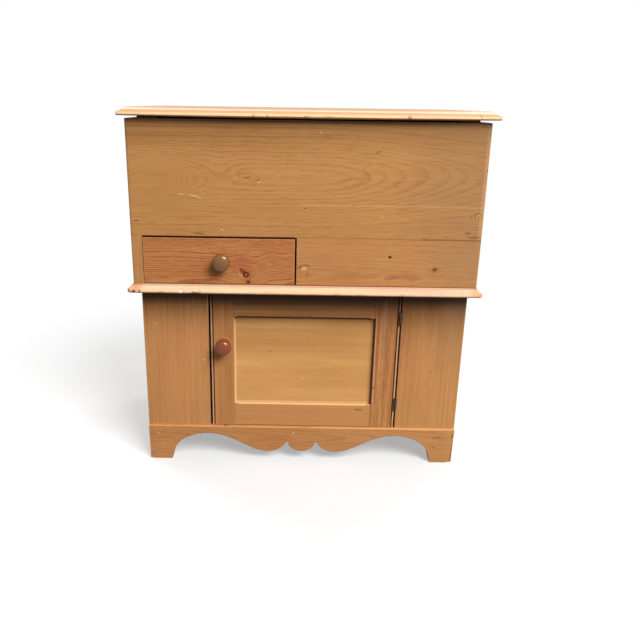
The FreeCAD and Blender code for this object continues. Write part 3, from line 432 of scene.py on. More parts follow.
    # Painted bands of highlight and shade along a moulded edge
    if bands:
        from_edge = (letters["x"] - low[0]).math("MINIMUM", high[0] - letters["x"])
        if "y-" not in meets:
            from_edge = from_edge.math("MINIMUM", letters["y"] - low[1])
        nose = finish.step(from_edge, *NOSE_REACH)
        threads = finish.cloud(drawn_out(THREAD_DRAW, (seed, 0, -seed)), 420.0, 2.0, 0.6)
        veins = finish.step(threads, 0.42, 0.68) * 0.22 + finish.step(blotch, 0.45, 0.7) * 0.25
        wavy = letters["z"] + (sway + streak - 0.5) * 0.0012
        for start, stop, soft, band_colour, amount in bands:
            inside = finish.step(wavy, (start - soft) * MM, start * MM)
            inside = inside * finish.step(letters["z"], (stop + soft) * MM, stop * MM)
            veined = finish.mix(veins, paint(*band_colour), VEIN)
            colour = finish.mix(inside * nose * amount, colour, veined)
    for a, c, half_long, half_wide, turn, mark_colour, amount, *hollow in marks:
        ragged = (sway + (fibre - 0.5) * 0.5) * (half_wide * 0.9 * MM)
        edge = 0.35 if max(half_long, half_wide) < CRISP else 0.0
        mark = spot(along + ragged, across + ragged, (a, c), (half_long, half_wide), turn, edge)
        colour = finish.mix(mark * amount, colour, paint(*mark_colour))
        if hollow:
            height = height - mark * hollow[0]
    return finish.finished(colour, rough, height, specular=0.13)


def iron(name):
    """Old blackened iron, rubbed to bare metal where it turns and rusted in the hollows."""
    finish = Finish(name)
    point = finish.place()
    grains = finish.cloud(point, 900.0, 3.0, 0.6)
    patches = finish.cloud(point, 140.0, 4.0, 0.65)
    rust = finish.step(patches, 0.52, 0.68)
    colour = finish.mix(finish.step(grains, 0.3, 0.8), paint(44, 38, 32), paint(84, 74, 58))
    colour = finish.mix(rust * 0.7, colour, paint(98, 58, 32))
    rough = 0.42 + rust * 0.35 + (grains - 0.5) * 0.3
    height = grains * 0.12 + patches * 0.2
    return finish.finished(colour, rough, height, metallic=(1 - rust) * 0.75)


def turned_wood(name, centre, pale, dark, gloss, streak_scale, spots, lip=None):
    """A turned knob's polished end grain, with the turning lines left by the gouge."""
    finish = Finish(name)
    point = finish.place(centre)
    x, y, z = finish.parts(point)
    round_it = (x * x + z * z).math("SQRT")
    lines = finish.line_cloud(round_it, 2600.0, 2.0)
    grain = finish.cloud(finish.stretch(point, (1.0, 0.35, 2.4)), streak_scale, 4.0, 0.6)
    patches = finish.cloud(point, 120.0, 3.0)
    colour = finish.mix(finish.step(grain, 0.32, 0.7), pale, dark)
    colour = finish.mix(finish.step(patches, 0.5, 0.75) * 0.45, colour, paint(120, 72, 44))
    rough = gloss + (patches - 0.5) * 0.12 + (lines - 0.5) * 0.08
    for a, c, size in spots:
        colour = finish.mix(spot(x, z, (a, c), (size, size * 0.8)) * 0.8, colour, paint(66, 44, 30))
    if lip:
        # The rose against the door, rubbed pale on its edge, which also serves as a painted highlight there
        rim = finish.step(y, lip - 0.003, lip)
        colour = finish.mix(rim * 0.65, colour, paint(196, 140, 100))
    height = lines * 0.03 + grain * 0.04
    return finish.finished(colour, rough, height, specular=0.15, coat=0.7, coat_roughness=0.17)


# ---- Meshes

# An edge at least this sharp, in degrees, and this long, in millimetres, wears round
SHARP = 28.0
SHORTEST = 0.6
# The length of a slice between two wear points, and how much an edge loses, in millimetres
SLICE = 6.0
WEAR = 0.35
# Points that touch a face larger than this, in square millimetres, stay where they are
BROAD_FACE = 40
# Faces larger than this, in square millimetres, shade as planes
PLANE_FACE = 18.0


def direction(letter):
    """The unit vector along an axis."""
    return Vector([1.0 if other == letter else 0.0 for other in AXES])


def cut(mesh, at, normal, near=1e-6):
    """Divides the faces that a plane crosses."""
    geometry = list(mesh.verts) + list(mesh.edges) + list(mesh.faces)
    bmesh.ops.bisect_plane(mesh, geom=geometry, dist=near, plane_co=at, plane_no=normal)


def bevelled(mesh, edges, width, segments=2):
    """Bevels edges, with the width in millimetres."""
    bmesh.ops.bevel(mesh, geom=edges, offset=width * MM, offset_type="OFFSET", affect="EDGES",
                    segments=segments, profile=0.5, material=-1, clamp_overlap=True)


def as_data(mesh, name):
    """Ends a bmesh as mesh data."""
    data = bpy.data.meshes.new(name)
    mesh.to_mesh(data)
    mesh.free()
    return data


def in_scene(name, data):
    """Adds an object to the scene."""
    thing = bpy.data.objects.new(name, data)
    bpy.context.scene.collection.objects.link(thing)
    return thing


def made_object(mesh, name, body, finish, smooth=30.0, flat_from=None):
    """Ends a bmesh as an object that rides on a body. Faces over flat_from, in mm2, shade as planes."""
    bmesh.ops.recalc_face_normals(mesh, faces=mesh.faces)
    data = as_data(mesh, name)
    data.materials.append(finish)
    data.set_sharp_from_angle(angle=math.radians(smooth))
    for polygon in data.polygons:
        polygon.use_smooth = flat_from is None or polygon.area < flat_from * MM * MM
    piece = in_scene(name, data)
    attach(piece, body)
    return piece


def merged(node):
    """The CAD node's shape as a closed mesh of plane faces."""
    mesh = bmesh.new()
    mesh.from_mesh(NODES[node].data)
    bmesh.ops.remove_doubles(mesh, verts=mesh.verts, dist=2e-6)
    bmesh.ops.dissolve_limit(mesh, angle_limit=math.radians(0.6), verts=mesh.verts, edges=mesh.edges)
    return mesh


def broad_bevels(mesh, edges):
    """Takes edges off at 45 degrees: (letter it runs along, from, to, the place of its middle, width)."""
    for letter, start, stop, at, width in edges:
        place = AXES.index(letter)
        normal = direction(letter)
        for end in (start, stop):
            cut(mesh, normal * end * MM, normal)
        chosen = []
        for edge in mesh.edges:
            middle = (edge.verts[0].co + edge.verts[1].co) / 2
            run = edge.verts[1].co - edge.verts[0].co
            aside = [middle[other] - at[other] * MM for other in range(3) if other != place]
            if (abs(run[place]) > 0.99 * run.length and start * MM < middle[place] < stop * MM
                    and max(map(abs, aside)) < 0.0003):
                chosen.append(edge)
        bevelled(mesh, chosen, width)


def sliced(mesh, low, high, grain):
    """Divides a board along its grain, so that its edges can wear unevenly."""
    place = AXES.index(grain)
    count = int((high[place] - low[place]) / (SLICE * MM))
    for number in range(1, count):
        at = low.lerp(high, 0.5)
        at[place] = low[place] + (high[place] - low[place]) * number / count
        cut(mesh, at, direction(grain))


def worn_edges(mesh):
    """Wears the edges, more in some places than in others."""
    mesh.normal_update()
    moves = []
    for vert in mesh.verts:
        if max(face.calc_area() for face in vert.link_faces) <= BROAD_FACE * MM * MM:
            rough = noise.fractal(vert.co * 60.0, 0.9, 2.1, 3) + 0.35
            moves.append((vert, -vert.normal * max(rough, 0.0) * WEAR * MM))
    for vert, move in moves:
        vert.co += move


def knocked(mesh, knocks):
    """Chips and dents: (x, y, z, reach, depth)."""
    for x, y, z, reach, depth in knocks:
        centre = Vector((x, y, z)) * MM
        for vert in mesh.verts:
            share = 1 - (vert.co - centre).length / (reach * MM)
            if share > 0:
                vert.co -= vert.normal * depth * MM * min(1.0, share * 1.6)


def hung(mesh, low, high, sag):
    """Lets an old board hang between its ends, most along its free front edge."""
    half = max(abs(low.x), abs(high.x))
    for vert in mesh.verts:
        share = max(0.0, min(1.0, (0.15 - vert.co.y) / 0.3))
        vert.co.z -= sag * MM * share * max(0.0, 1 - (vert.co.x / half) ** 2)


def rounded_corners(mesh, low, high, reach):
    """Wears the two front corners of a moulded board round, and lifts the underside a little at them."""
    for step in range(1, 5):
        inset = reach * step / 4 * MM
        cut(mesh, (low.x + inset, 0, 0), (1, 0, 0))
        cut(mesh, (high.x - inset, 0, 0), (1, 0, 0))
        cut(mesh, (0, low.y + inset, 0), (0, 1, 0))
    radius = reach * MM
    for vert in mesh.verts:
        side = 1 if vert.co.x > 0 else -1
        corner = Vector(((high.x if side > 0 else -low.x) - radius, low.y + radius))
        out = Vector((vert.co.x * side - corner.x, corner.y - vert.co.y))
        if out.x > 0 and out.y > 0 and out.length > radius * 0.7:
            share = (out.length / radius - 0.7) / 0.7
            if vert.co.z < (low.z + high.z) / 2:
                vert.co.z += share * share * 6.0 * MM
            if out.length > radius:
                out *= radius / out.length
                vert.co.x = side * (corner.x + out.x)
                vert.co.y = corner.y - out.y


def board(node, roundness, grain, face, wood, knocks=(), broad=(), sag=0.0, corners=0.0, **look):
    """
    A board in its own pine, with its sharp outer edges rounded by use, unevenly along its length. Broad edges
    are taken off at 45 degrees first, sag is how far it hangs, and corners how round its front corners are.
    """
    finish = pine(node, grain, face, wood, **look)
    low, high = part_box(node)
    mesh = merged(node)
    broad_bevels(mesh, broad)
    sharp = [edge for edge in mesh.edges
             if edge.is_manifold and edge.is_convex and edge.calc_face_angle() > math.radians(SHARP)
             and edge.calc_length() > SHORTEST * MM]
    bevelled(mesh, sharp, roundness, 3)
    sliced(mesh, low, high, grain)
    worn_edges(mesh)
    knocked(mesh, knocks)
    if sag:
        hung(mesh, low, high, sag)
    if corners:
        rounded_corners(mesh, low, high, corners)
    piece = made_object(mesh, node + "_worn", BODY_OF[node], finish, flat_from=PLANE_FACE)
    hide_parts(node)


def kept_node(node, finish):
    """A CAD node that shows as it is, with a finish of its own."""
    data = NODES[node].data
    data.materials.clear()
    data.materials.append(finish)


def turned_knob(name, node, outline, centre, finish, tail=None):
    """A knob turned from half its outline, (radius, distance from the wood), about its own axis."""
    mesh = bmesh.new()
    verts = [mesh.verts.new((radius * MM, place * MM, 0.0)) for radius, place in outline]
    for first, second in zip(verts, verts[1:]):
        mesh.edges.new((first, second))
    bmesh.ops.spin(mesh, geom=list(mesh.verts) + list(mesh.edges), cent=(0, 0, 0), axis=(0, 1, 0),
                   angle=math.tau, steps=48, use_merge=True)
    bmesh.ops.remove_doubles(mesh, verts=mesh.verts, dist=1e-6)
    if tail:
        tail(mesh)
    bmesh.ops.translate(mesh, verts=mesh.verts, vec=Vector(centre) * MM)
    piece = made_object(mesh, name, BODY_OF[node], finish, smooth=40.0)
    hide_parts(node)


def arc(centre, radius, start, stop, steps):
    """Points of an arc, in degrees, for a knob's outline."""
    points = []
    for number in range(steps + 1):
        at = math.radians(start + (stop - start) * number / steps)
        points.append((centre[0] + radius[0] * math.cos(at), centre[1] + radius[1] * math.sin(at)))
    return points


# ---- The boards, each with its own grain, knots and scars

# Painted shade, with some soot, under the lid and under the waist moulding: (height, reach, share)
UNDER_LID = [(798, 8, 0.55), (797, 26, 0.6), (797, 120, 0.42)]
UNDER_WAIST = [(425, 52, 0.74), (425, 170, 0.7), (425, 110, 0.44)]
# A pale cream painted as the highlight on reveals and slopes round the panel that face the light
PAINTED_HIGHLIGHT_CREAM = (240, 200, 150)
GREYED = (150, 120, 88)
# Where the door lies, from its foot to its top, and its opening for the panel
DOOR_Z = (92, 425)
OPENING_X = (-159.8, 161.4)
OPENING_Z = (148.5, 363.5)
# How far the lid's front edge hangs at its middle
LID_SAG = 2.2

board(
    "upper_front_board", 0.7, "x", "y", "front", heart=679, depth=50, lean=0.125, level_to=70, ring=5.2,
    contrast=0.66, seed=1.3, thin=0.76, meets=("z-",), smoke=UNDER_LID, arris=0.3, flecks=0.6, wander=0.9,
    gaps=("z-",),
    swirls=[(-338, 662, 66, 46, -9.5), (-333, 650, 24, 16, -3), (-122, 677, 24, 9, 1.2),
            (-190, 690, 40, 26, 1.6)],
    # The line at 550.6 is painted shade in the drawer's top gap
    seams=[(-10, 384, 622.5, 5, 1.3, (226, 176, 120), 0.34), (-352, -26, 550.6, 0, 1.1, GAP_SHADE, 0.95),
           (256, 384, 550.9, 0, 1.4, GRIME_AND_SHADE, 0.45), (-16, 256, 550.7, 0, 1, GRIME_AND_SHADE, 0.18)],
    waves=[(-250, 735, 130, 42, 66, 1), (-110, 745, 90, 34, 92, 0.8), (-300, 600, 70, 34, 44, 1.2)],
    strips=[(371.5, 385, (224, 170, 112), 0.4), (370.4, 371.4, GRIME_AND_SHADE, 0.3)],
    marks=[(420, 660, 260, 220, 0, GREYED, 0.34), (-300, 660, 110, 90, 0, (186, 134, 74), 0.35),
           (367, 602, 9.5, 7.5, 0, GRIME_AND_SHADE, 0.5, 0.2), (368, 602, 6.8, 5.2, 0, (214, 164, 112), 0.8),
           (369, 601.5, 3.2, 2.4, 0, (120, 74, 38), 0.7, 0.1), (353, 600, 4, 1.4, 20, GRIME_AND_SHADE, 0.5, 0.1),
           # A pale chip with a painted shadow just above it, and more such pairs below
           (-102, 669, 3.2, 1.5, 20, SCAR, 0.9, 0.3), (-103, 671.6, 3.2, 1.2, 20, GRIME_AND_SHADE, 0.6, 0.2),
           (-127, 678, 9, 2, 12, GRIME_AND_SHADE, 0.45, 0.1), (-152, 676, 8, 4, 0, (216, 156, 98), 0.5),
           (-268, 641.5, 9, 1, 2, SCAR, 0.75, 0.15), (-240, 638, 16, 1.1, -13, SCAR, 0.75, 0.15),
           (-226, 632.5, 6, 0.8, -5, SCAR, 0.5, 0.15), (-222, 646, 9, 0.8, -48, SCAR, 0.35, 0.1),
           (-182, 567.7, 3.5, 1.6, -25, SCAR, 0.9, 0.3), (-184, 570.4, 4, 1.3, -25, GRIME_AND_SHADE, 0.6, 0.2),
           (-2, 614.6, 3, 2, 0, GRIME_AND_SHADE, 0.6, 0.25), (1.5, 612.4, 3, 1.2, 0, SCAR, 0.5),
           (-233, 557, 17, 2.6, -4, (120, 88, 40), 0.6, 0.1), (27, 771.7, 2.2, 1.3, 0, SCAR, 0.7, 0.1),
           (147, 733, 9, 4, 20, (130, 84, 42), 0.4), (132, 708, 4, 2.5, 0, (130, 84, 42), 0.4),
           (118, 696, 4, 2.5, 0, (130, 84, 42), 0.4), (359, 679, 3, 2, 0, GRIME_AND_SHADE, 0.4, 0.1),
           (378, 698, 1.6, 1.6, 0, GRIME_AND_SHADE, 0.85, 0.5), (376, 770, 1, 7, 0, GRIME_AND_SHADE, 0.5, 0.1),
           (350, 566, 9, 4, 0, GRIME_AND_SHADE, 0.35), (365, 557, 18, 2.2, 2, GRIME_AND_SHADE, 0.5),
           (-368, 583, 9, 1.6, 4, GRIME_AND_SHADE, 0.65, 0.2), (-372, 605, 14, 3, -8, (206, 150, 94), 0.5),
           (162, 598, 5, 3, 30, (224, 170, 120), 0.4), (185, 628, 4, 1.2, 0, GRIME_AND_SHADE, 0.35, 0.1)],
    knocks=[(381.5, -207.8, 795, 9, 2.6), (-381.5, -207.8, 795, 6, 1.2), (-381, -207, 600, 9, 1),
            (381, -207, 745, 8, 1.2)])
board(
    "lower_front_board", 0.7, "x", "y", "low front", heart=470, depth=40, lean=0.03, ring=3.6,
    contrast=0.45, seed=4.1, thin=0.7, meets=("z+", "z-", "x-"), arris=0.3, flecks=0.5, gaps=("x-",),
    knots=[(285.3, 484, 7, 5.5, 0.9), (-4, 485, 4.5, 3, 0)],
    seams=[(256, 380, 549.4, 0, 1.2, GRIME_AND_SHADE, 0.55), (-18, 256, 549.4, 0, 1, GRIME_AND_SHADE, 0.22),
           (-19, 381, 443.8, 0, 1.5, (116, 56, 26), 0.7)],
    # Painted shade in the drawer's right gap
    strips=[(-22, -19.3, GAP_SHADE, 0.9)],
    marks=[(420, 500, 200, 160, 0, GREYED, 0.34), (-11.5, 485.5, 9, 1.3, 38, GRIME_AND_SHADE, 0.85, 0.3),
           (3, 489.8, 10, 1.3, -12, GRIME_AND_SHADE, 0.85, 0.3), (-2, 482.5, 7, 4.5, 0, (226, 174, 118), 0.75),
           (5, 470, 11, 1.1, 100, GRIME_AND_SHADE, 0.5, 0.1), (185, 511, 5, 3.2, -20, (40, 24, 16), 0.95, 0.5),
           (280, 487, 1.3, 1, 0, SCAR, 0.5), (290, 480, 1.3, 1, 0, SCAR, 0.5),
           (286, 483, 1.2, 1, 0, SCAR, 0.35), (218, 466, 46, 9, -5, (150, 90, 66), 0.42),
           (190, 463, 20, 5, 8, (120, 76, 56), 0.4), (79, 457, 60, 10, 0, (196, 122, 70), 0.4)])
board(
    "drawer_stile", 0.9, "z", "y", "front", depth=30, ring=3, contrast=0.5, seed=2.2, arris=0.6,
    # A dark line painted as the shade in the drawer's left gap
    meets=("z+", "z-"), gaps=("x+",), seams=[(451, 542, -358.2, 0, 1, GAP_SHADE, 0.85)],
    strips=[(442, 445, (112, 56, 28), 0.5)])
board(
    "drawer_front", 0.4, "x", "y", "drawer", heart=448, depth=24, lean=-0.02, ring=3.3, contrast=1.15,
    seed=3.7, thin=0.6, arris=0.2, flecks=0.3, gaps=("x-", "x+", "z-", "z+"),
    knots=[(-130.5, 467, 10, 8.5, 1), (-126, 450, 5, 4.4, 1)],
    seams=[(-355, -25, 444.4, 0, 1.5, (104, 46, 20), 0.8)], swirls=[(-140, 500, 70, 46, 2.2)],
    waves=[(-110, 505, 95, 40, 62, 3.2)],
    marks=[(-142, 492, 32, 22, 0, (172, 90, 62), 0.5),
           (-138, 475.5, 10, 6, -42, (92, 34, 16), 0.66),
           (-143, 465, 11, 3.6, -42, (216, 164, 98), 0.42), (-152, 470, 8, 1.3, -40, GRIME_AND_SHADE, 0.35),
           (-121, 458, 6, 1.4, 60, (110, 50, 26), 0.5),
           (-130.5, 467, 2.4, 2, 0, (206, 150, 96), 0.9)])
# Painted highlight and shade in bands on the lid's and the waist's moulded edges
LID_EDGE_LIGHT_AND_SHADE = [(812.3, 830, 0.5, (250, 229, 211), 0.9), (807.5, 812, 0.5, (216, 170, 122), 0.9),
            (802.5, 807.2, 0.5, (245, 209, 162), 0.9), (790, 802, 0.5, (140, 92, 58), 0.9)]
LID_BACK_EDGE_LIGHT_AND_SHADE = [(low, high, soft, colour, share * 0.6) for low, high, soft, colour, share in LID_EDGE_LIGHT_AND_SHADE]
WAIST_EDGE_LIGHT_AND_SHADE = [(441.4, 460, 0.5, (246, 212, 190), 0.85), (427.7, 441, 0.6, (246, 216, 178), 0.9),
              (440, 440.7, 0.4, (176, 118, 84), 0.6), (410, 427.2, 0.5, (190, 130, 82), 0.9)]
board(
    "lid_board_front", 0.6, "x", "z", "moulding", depth=50, lean=0.03, ring=3.4, contrast=0.6, seed=5.9,
    arris=0, meets=("y+",), bands=LID_EDGE_LIGHT_AND_SHADE,
    marks=[(-113.4, -221, 3, 5, 0, GRIME_AND_SHADE, 0.4, 0.2), (-85, -221, 3, 5, 0, GRIME_AND_SHADE, 0.35, 0.2),
           (350, -217, 1.2, 9, 8, (150, 60, 50), 0.7, 0.2),
           (362, -216, 9, 7, 0, (232, 176, 150), 0.25), (206, -219.5, 6, 2.5, 0, GRIME_AND_SHADE, 0.5, 0.2),
           (-2, -220, 10, 1.4, 6, GRIME_AND_SHADE, 0.4, 0.1)],
    knocks=[(-113.4, -217, 815.5, 5, 0.9), (-85, -217, 814, 5, 0.8), (0, -219, 808, 6, 0.9),
            (-330, -219, 813, 7, 1), (265, -218, 814, 6, 1)],
    sag=LID_SAG, corners=5)
board(
    "lid_board_back", 0.6, "x", "z", "moulding", depth=44, lean=-0.04, ring=3.1, contrast=0.6, seed=7.9,
    arris=0, meets=("y-",), bands=LID_BACK_EDGE_LIGHT_AND_SHADE, sag=LID_SAG)
board(
    "waist_board", 0.6, "x", "z", "moulding", depth=52, lean=0.02, contrast=0.6, seed=6.6, arris=0,
    bands=WAIST_EDGE_LIGHT_AND_SHADE,
    marks=[(250, -216, 170, 26, 0, (226, 182, 158), 0.4),
           (240, -210.6, 150, 0.9, 0, (186, 112, 100), 0.7),
           (120, -213.5, 200, 0.8, 0, (206, 148, 116), 0.55),
           (300, -216, 90, 1, 0, (204, 130, 112), 0.6),
           (-100, -210.2, 220, 0.7, 0, (172, 114, 80), 0.65),
           (-180, -213.8, 120, 0.7, 0, (212, 156, 114), 0.5),
           (60, -218.5, 120, 0.7, 0, (218, 164, 124), 0.55),
           (-386, -214, 34, 40, 0, (216, 138, 88), 0.65),
           (388, -214, 28, 34, 0, (218, 142, 92), 0.6),
           (-379, -219.6, 5, 3.2, 0, (84, 40, 22), 0.85, 0.2),
           (-366, -219.8, 3, 2.4, 0, (96, 50, 30), 0.7, 0.2),
           (-274.5, -219.4, 3.4, 2.8, 0, (255, 240, 232), 0.95),
           (-240, -220.9, 12, 1.3, 0, GRIME_AND_SHADE, 0.45), (-318, -220.9, 7, 1, 0, GRIME_AND_SHADE, 0.3),
           (-316, -214, 5, 1.6, 0, GRIME_AND_SHADE, 0.2), (70, -220.9, 12, 0.8, 0, GRIME_AND_SHADE, 0.22),
           (215, -220.9, 10, 0.8, 0, GRIME_AND_SHADE, 0.22), (348, -212, 5, 1.2, 20, GRIME_AND_SHADE, 0.3)],
    knocks=[(-274.5, -221, 428.5, 6, 1.6), (-240.7, -221, 427, 8, 1.8), (-379, -221, 431, 9, 1.8),
            (-250, -221, 426.5, 6, 1.2), (120, -221, 427, 5, 0.9), (300, -221, 429, 5, 0.8)],
    corners=13)
# The side boards, painted darker under the lid and the waist with shade and soot
for node, grain, seed, dirt_and_shade, meets, knocks in (
        ("box_side_left", "y", 8.3, UNDER_LID, "z-", []), ("box_side_right", "y", 9.1, UNDER_LID, "z-", []),
        ("case_side_left", "z", 10.4, UNDER_WAIST, "z+", []),
        ("case_side_right", "z", 11.8, UNDER_WAIST, "z+", [(367.5, -200, 0, 12, 2.5)])):
    board(node, 0.8, grain, "x", "front", depth=40 + seed, lean=0.05, ring=3.3, contrast=0.55, seed=seed,
          smoke=dirt_and_shade, meets=(meets,), knocks=knocks)
board(
    "case_stile_left", 0.8, "z", "y", "stile", heart=-520, depth=40, lean=0, ring=4.4, contrast=0.42,
    seed=12.3, streaks=0.9, wander=0.5, smoke=UNDER_WAIST, meets=("z+", "z-"), arris=0.4, gaps=("x+",),
    # A dark line painted as the shade in the door's gap
    seams=[(*DOOR_Z, -218.7, 0, 0.8, (40, 10, 4), 0.85)],
    marks=[(258, -230, 3.5, 3, 0, SCAR, 0.6, 0.1), (345, -340, 3, 3, 0, SCAR, 0.35),
           (170, -300, 120, 50, 0, (212, 150, 90), 0.25)])
board(
    "case_stile_right", 0.8, "z", "y", "stile", heart=520, depth=60, lean=0.01, ring=4, contrast=0.55,
    seed=13.1, streaks=1, wander=0.5, smoke=UNDER_WAIST + [(425, 260, 0.35)], meets=("z+", "z-", "x-"),
    # A dark line painted as the shade in the door's gap
    arris=0.4, gaps=("x-",), seams=[(*DOOR_Z, 222, 0, 1.5, (40, 6, 0), 0.95)],
    marks=[(330, 350, 160, 60, 0, GREYED, 0.25), (237, 299, 4, 2, 0, GRIME_AND_SHADE, 0.3, 0.1),
           (144, 278, 2, 2, 0, GRIME_AND_SHADE, 0.5, 0.2)])
board(
    "apron", 0.9, "x", "y", "apron", heart=60, depth=34, lean=0.035, ring=3.6, contrast=0.6, seed=14.6,
    arris=0.6,
    marks=[(-342.5, 68, 2.6, 2.6, 0, SCAR, 0.6, 0.2), (-334, 41, 2.6, 2.6, 0, SCAR, 0.4, 0.2),
           (-356.7, 25.8, 2.2, 2.2, 0, SCAR, 0.6, 0.2), (-182.7, 90, 5, 2.2, 0, GRIME_AND_SHADE, 0.5, 0.2),
           (-19, 75, 3, 3, 0, SCAR, 0.6, 0.1), (-38, 67, 11, 6, 0, (196, 110, 60), 0.35),
           (363, 72, 2.4, 3.4, 0, GRIME_AND_SHADE, 0.8, 0.4), (328, 68, 14, 3, 20, (140, 88, 48), 0.5),
           (320, 41, 8, 4, 0, (140, 88, 48), 0.45)],
    knocks=[(367.5, -200.3, 0, 16, 3.5), (-366, -200.3, 0, 9, 1.5), (367, -200.3, 58, 7, 1.2)])
board(
    "door_stile_left", 0.5, "z", "y", "door", heart=-420, depth=60, lean=0.01, ring=4, contrast=0.5,
    seed=15.2, streaks=0.8, wander=0.6, smoke=UNDER_WAIST + [(425, 90, 0.54)], arris=0.2, meets=("x+",),
    # A painted highlight on the slope of the opening that faces the light
    gaps=("x-",), bevels=[(OPENING_X[0], 1.5, PAINTED_HIGHLIGHT_CREAM, 0.4, *OPENING_Z)],
    # A painted highlight along the bead, and painted shade in the gap beside it
    seams=[(*DOOR_Z, -212, 0, 1.1, (232, 194, 164), 0.62),
           (*DOOR_Z, -208.7, 0, 1.2, (72, 20, 6), 0.92)],
    broad=[("z", *OPENING_Z, (OPENING_X[0], CASE_FRONT, 0), 1.2)])
board(
    "door_stile_right", 0.5, "z", "y", "hinge stile", heart=20, depth=60, lean=0.02, ring=3.4, contrast=0.8,
    seed=16.4, streaks=1.8, wander=0.7, smoke=UNDER_WAIST + [(425, 240, 0.25), (425, 90, 0.58)], arris=0.2,
    # Painted shade on the slope of the opening that faces away from the light
    meets=("x-",), flecks=0.6, gaps=("x+",), bevels=[(OPENING_X[1], 3.9, (84, 42, 20), 0.9, *OPENING_Z)],
    # A painted highlight on the bead, painted shade in the gap at the hinge, and a painted highlight on the
    # arris of the opening
    seams=[(*DOOR_Z, 217.6, 0, 1.1, (232, 188, 156), 0.62),
           (*DOOR_Z, 214.3, 0, 1.2, (92, 36, 12), 0.9),
           (150, 362, 166.3, 0, 1, (230, 178, 142), 0.6),
           (*DOOR_Z, 204, 4, 3, (208, 132, 78), 0.32)],
    marks=[(399, 184, 16, 9, 0, (84, 50, 28), 0.6), (330, 186, 90, 10, 0, GREYED, 0.3),
           (193, 167, 3, 2, 0, GRIME_AND_SHADE, 0.8, 0.3)],
    broad=[("z", *OPENING_Z, (OPENING_X[1], CASE_FRONT, 0), 3.6)])
board(
    "door_rail_top", 0.5, "x", "y", "rail", heart=700, depth=60, lean=0.02, ring=3.8, contrast=0.5,
    # Painted shade with soot, darker towards the top under the waist
    seed=17.7, smoke=UNDER_WAIST + [(398, 44, 0.6)], arris=0, meets=("x-", "x+"),
    seams=[(-160, 162, 369, 0, 5, (60, 28, 8), 0.3)],
    # Painted shade on the slope of the opening that faces down
    bevels=[(OPENING_Z[1], 3.3, (96, 52, 26), 0.7, -160, 162)],
    broad=[("x", -150, 150, (0, CASE_FRONT, OPENING_Z[1]), 3)])
board(
    "door_rail_bottom", 0.5, "x", "y", "rail", heart=-90, depth=50, lean=-0.01, ring=3.8, contrast=0.5,
    # A painted highlight on the slope of the opening that faces up
    seed=18.9, arris=0, meets=("x-", "x+"), bevels=[(OPENING_Z[0], 2.7, PAINTED_HIGHLIGHT_CREAM, 0.7, -160, 162)],
    marks=[(135, 136, 14, 4, 0, (130, 92, 54), 0.5)],
    broad=[("x", -150, 150, (0, CASE_FRONT, OPENING_Z[0]), 2.4)])
# The panel's left end is painted pale as a highlight, and its right end darkens in steps into a painted
# shadow of the stile
PANEL_ENDS = [(-170, -156.2, PAINTED_HIGHLIGHT_CREAM, 0.8)]
for start, share in ((151.5, 0.1), (154.5, 0.16), (157, 0.32), (159.2, 0.42)):
    PANEL_ENDS.append((start, 170, (60, 26, 4), share))
panel = pine(
    "door_panel", "x", "y", "panel", heart=700, depth=95, lean=0.01, ring=3.4, contrast=0.32, seed=19.5,
    # Painted shade under the waist and under the top rail
    smoke=[(425, 260, 0.46), (367, 36, 0.74)], arris=0, patina=1.3, flecks=0.25, strips=PANEL_ENDS,
    # A painted highlight along the panel's lower edge, and a painted shadow under its top edge
    seams=[(-156, 152, 151.8, 0, 2, PAINTED_HIGHLIGHT_CREAM, 0.55), (-160, 162, 361.8, 0, 1.6, (60, 22, 2), 0.55)],
    marks=[(76.8, 256.4, 4, 1.6, 20, SCAR, 0.6, 0.3), (1, 213, 4, 1.8, 15, SCAR, 0.6, 0.3),
           (-76.5, 279.1, 3.5, 1.4, 0, (140, 80, 44), 0.8, 0.2)])
kept_node("door_panel", panel)

# What is inside or behind, in bare and duller wood: the way of the grain and the broad face
INSIDE = {
    "box_back_lower": "xy", "box_back_upper": "xy", "hinge_rail": "xy", "drawer_divider": "yx",
    "drawer_top_board": "xz", "drawer_guide": "yz", "drawer_stop": "xy", "corner_post_left": "zy",
    "corner_post_right": "zy", "cupboard_floor": "xz", "floor_ledger_left": "yx",
    "floor_ledger_right": "yx", "foot_block_left": "zy", "foot_block_right": "zy", "back_plank_left": "zy",
    "back_plank_middle": "zy", "back_plank_right": "zy", "door_stop": "xy", "lid_batten_left": "yz",
    "lid_batten_right": "yz", "drawer_side_left": "yx", "drawer_side_right": "yx", "drawer_back": "xy",
    "drawer_bottom": "xz", "turn_button": "zy",
}
for number, (node, (grain, face)) in enumerate(INSIDE.items()):
    kept_node(node, pine(
        node, grain, face, "inside", 0.6 + 0.2 * (number % 3), 20.0 + number * 1.37, arris=0.3, gloss=0.62,
        depth=38 + 7 * (number % 5), lean=0.03 * (number % 3 - 1), patina=0.2 + 0.55 * (number * 2 % 5) / 2))

old_iron = iron("old_iron")
for node, slot in SLOT_OF.items():
    if slot == "iron":
        kept_node(node, old_iron)

# A countersunk screw in millimetres: its length, how far it stands proud, and its slot
SCREW_LENGTH = 1.2
SCREW_PROUD = 0.25
SLOT_HALF_WIDTH = 0.32
SLOT_DEPTH = 0.5
SCREW_SIDES = 16


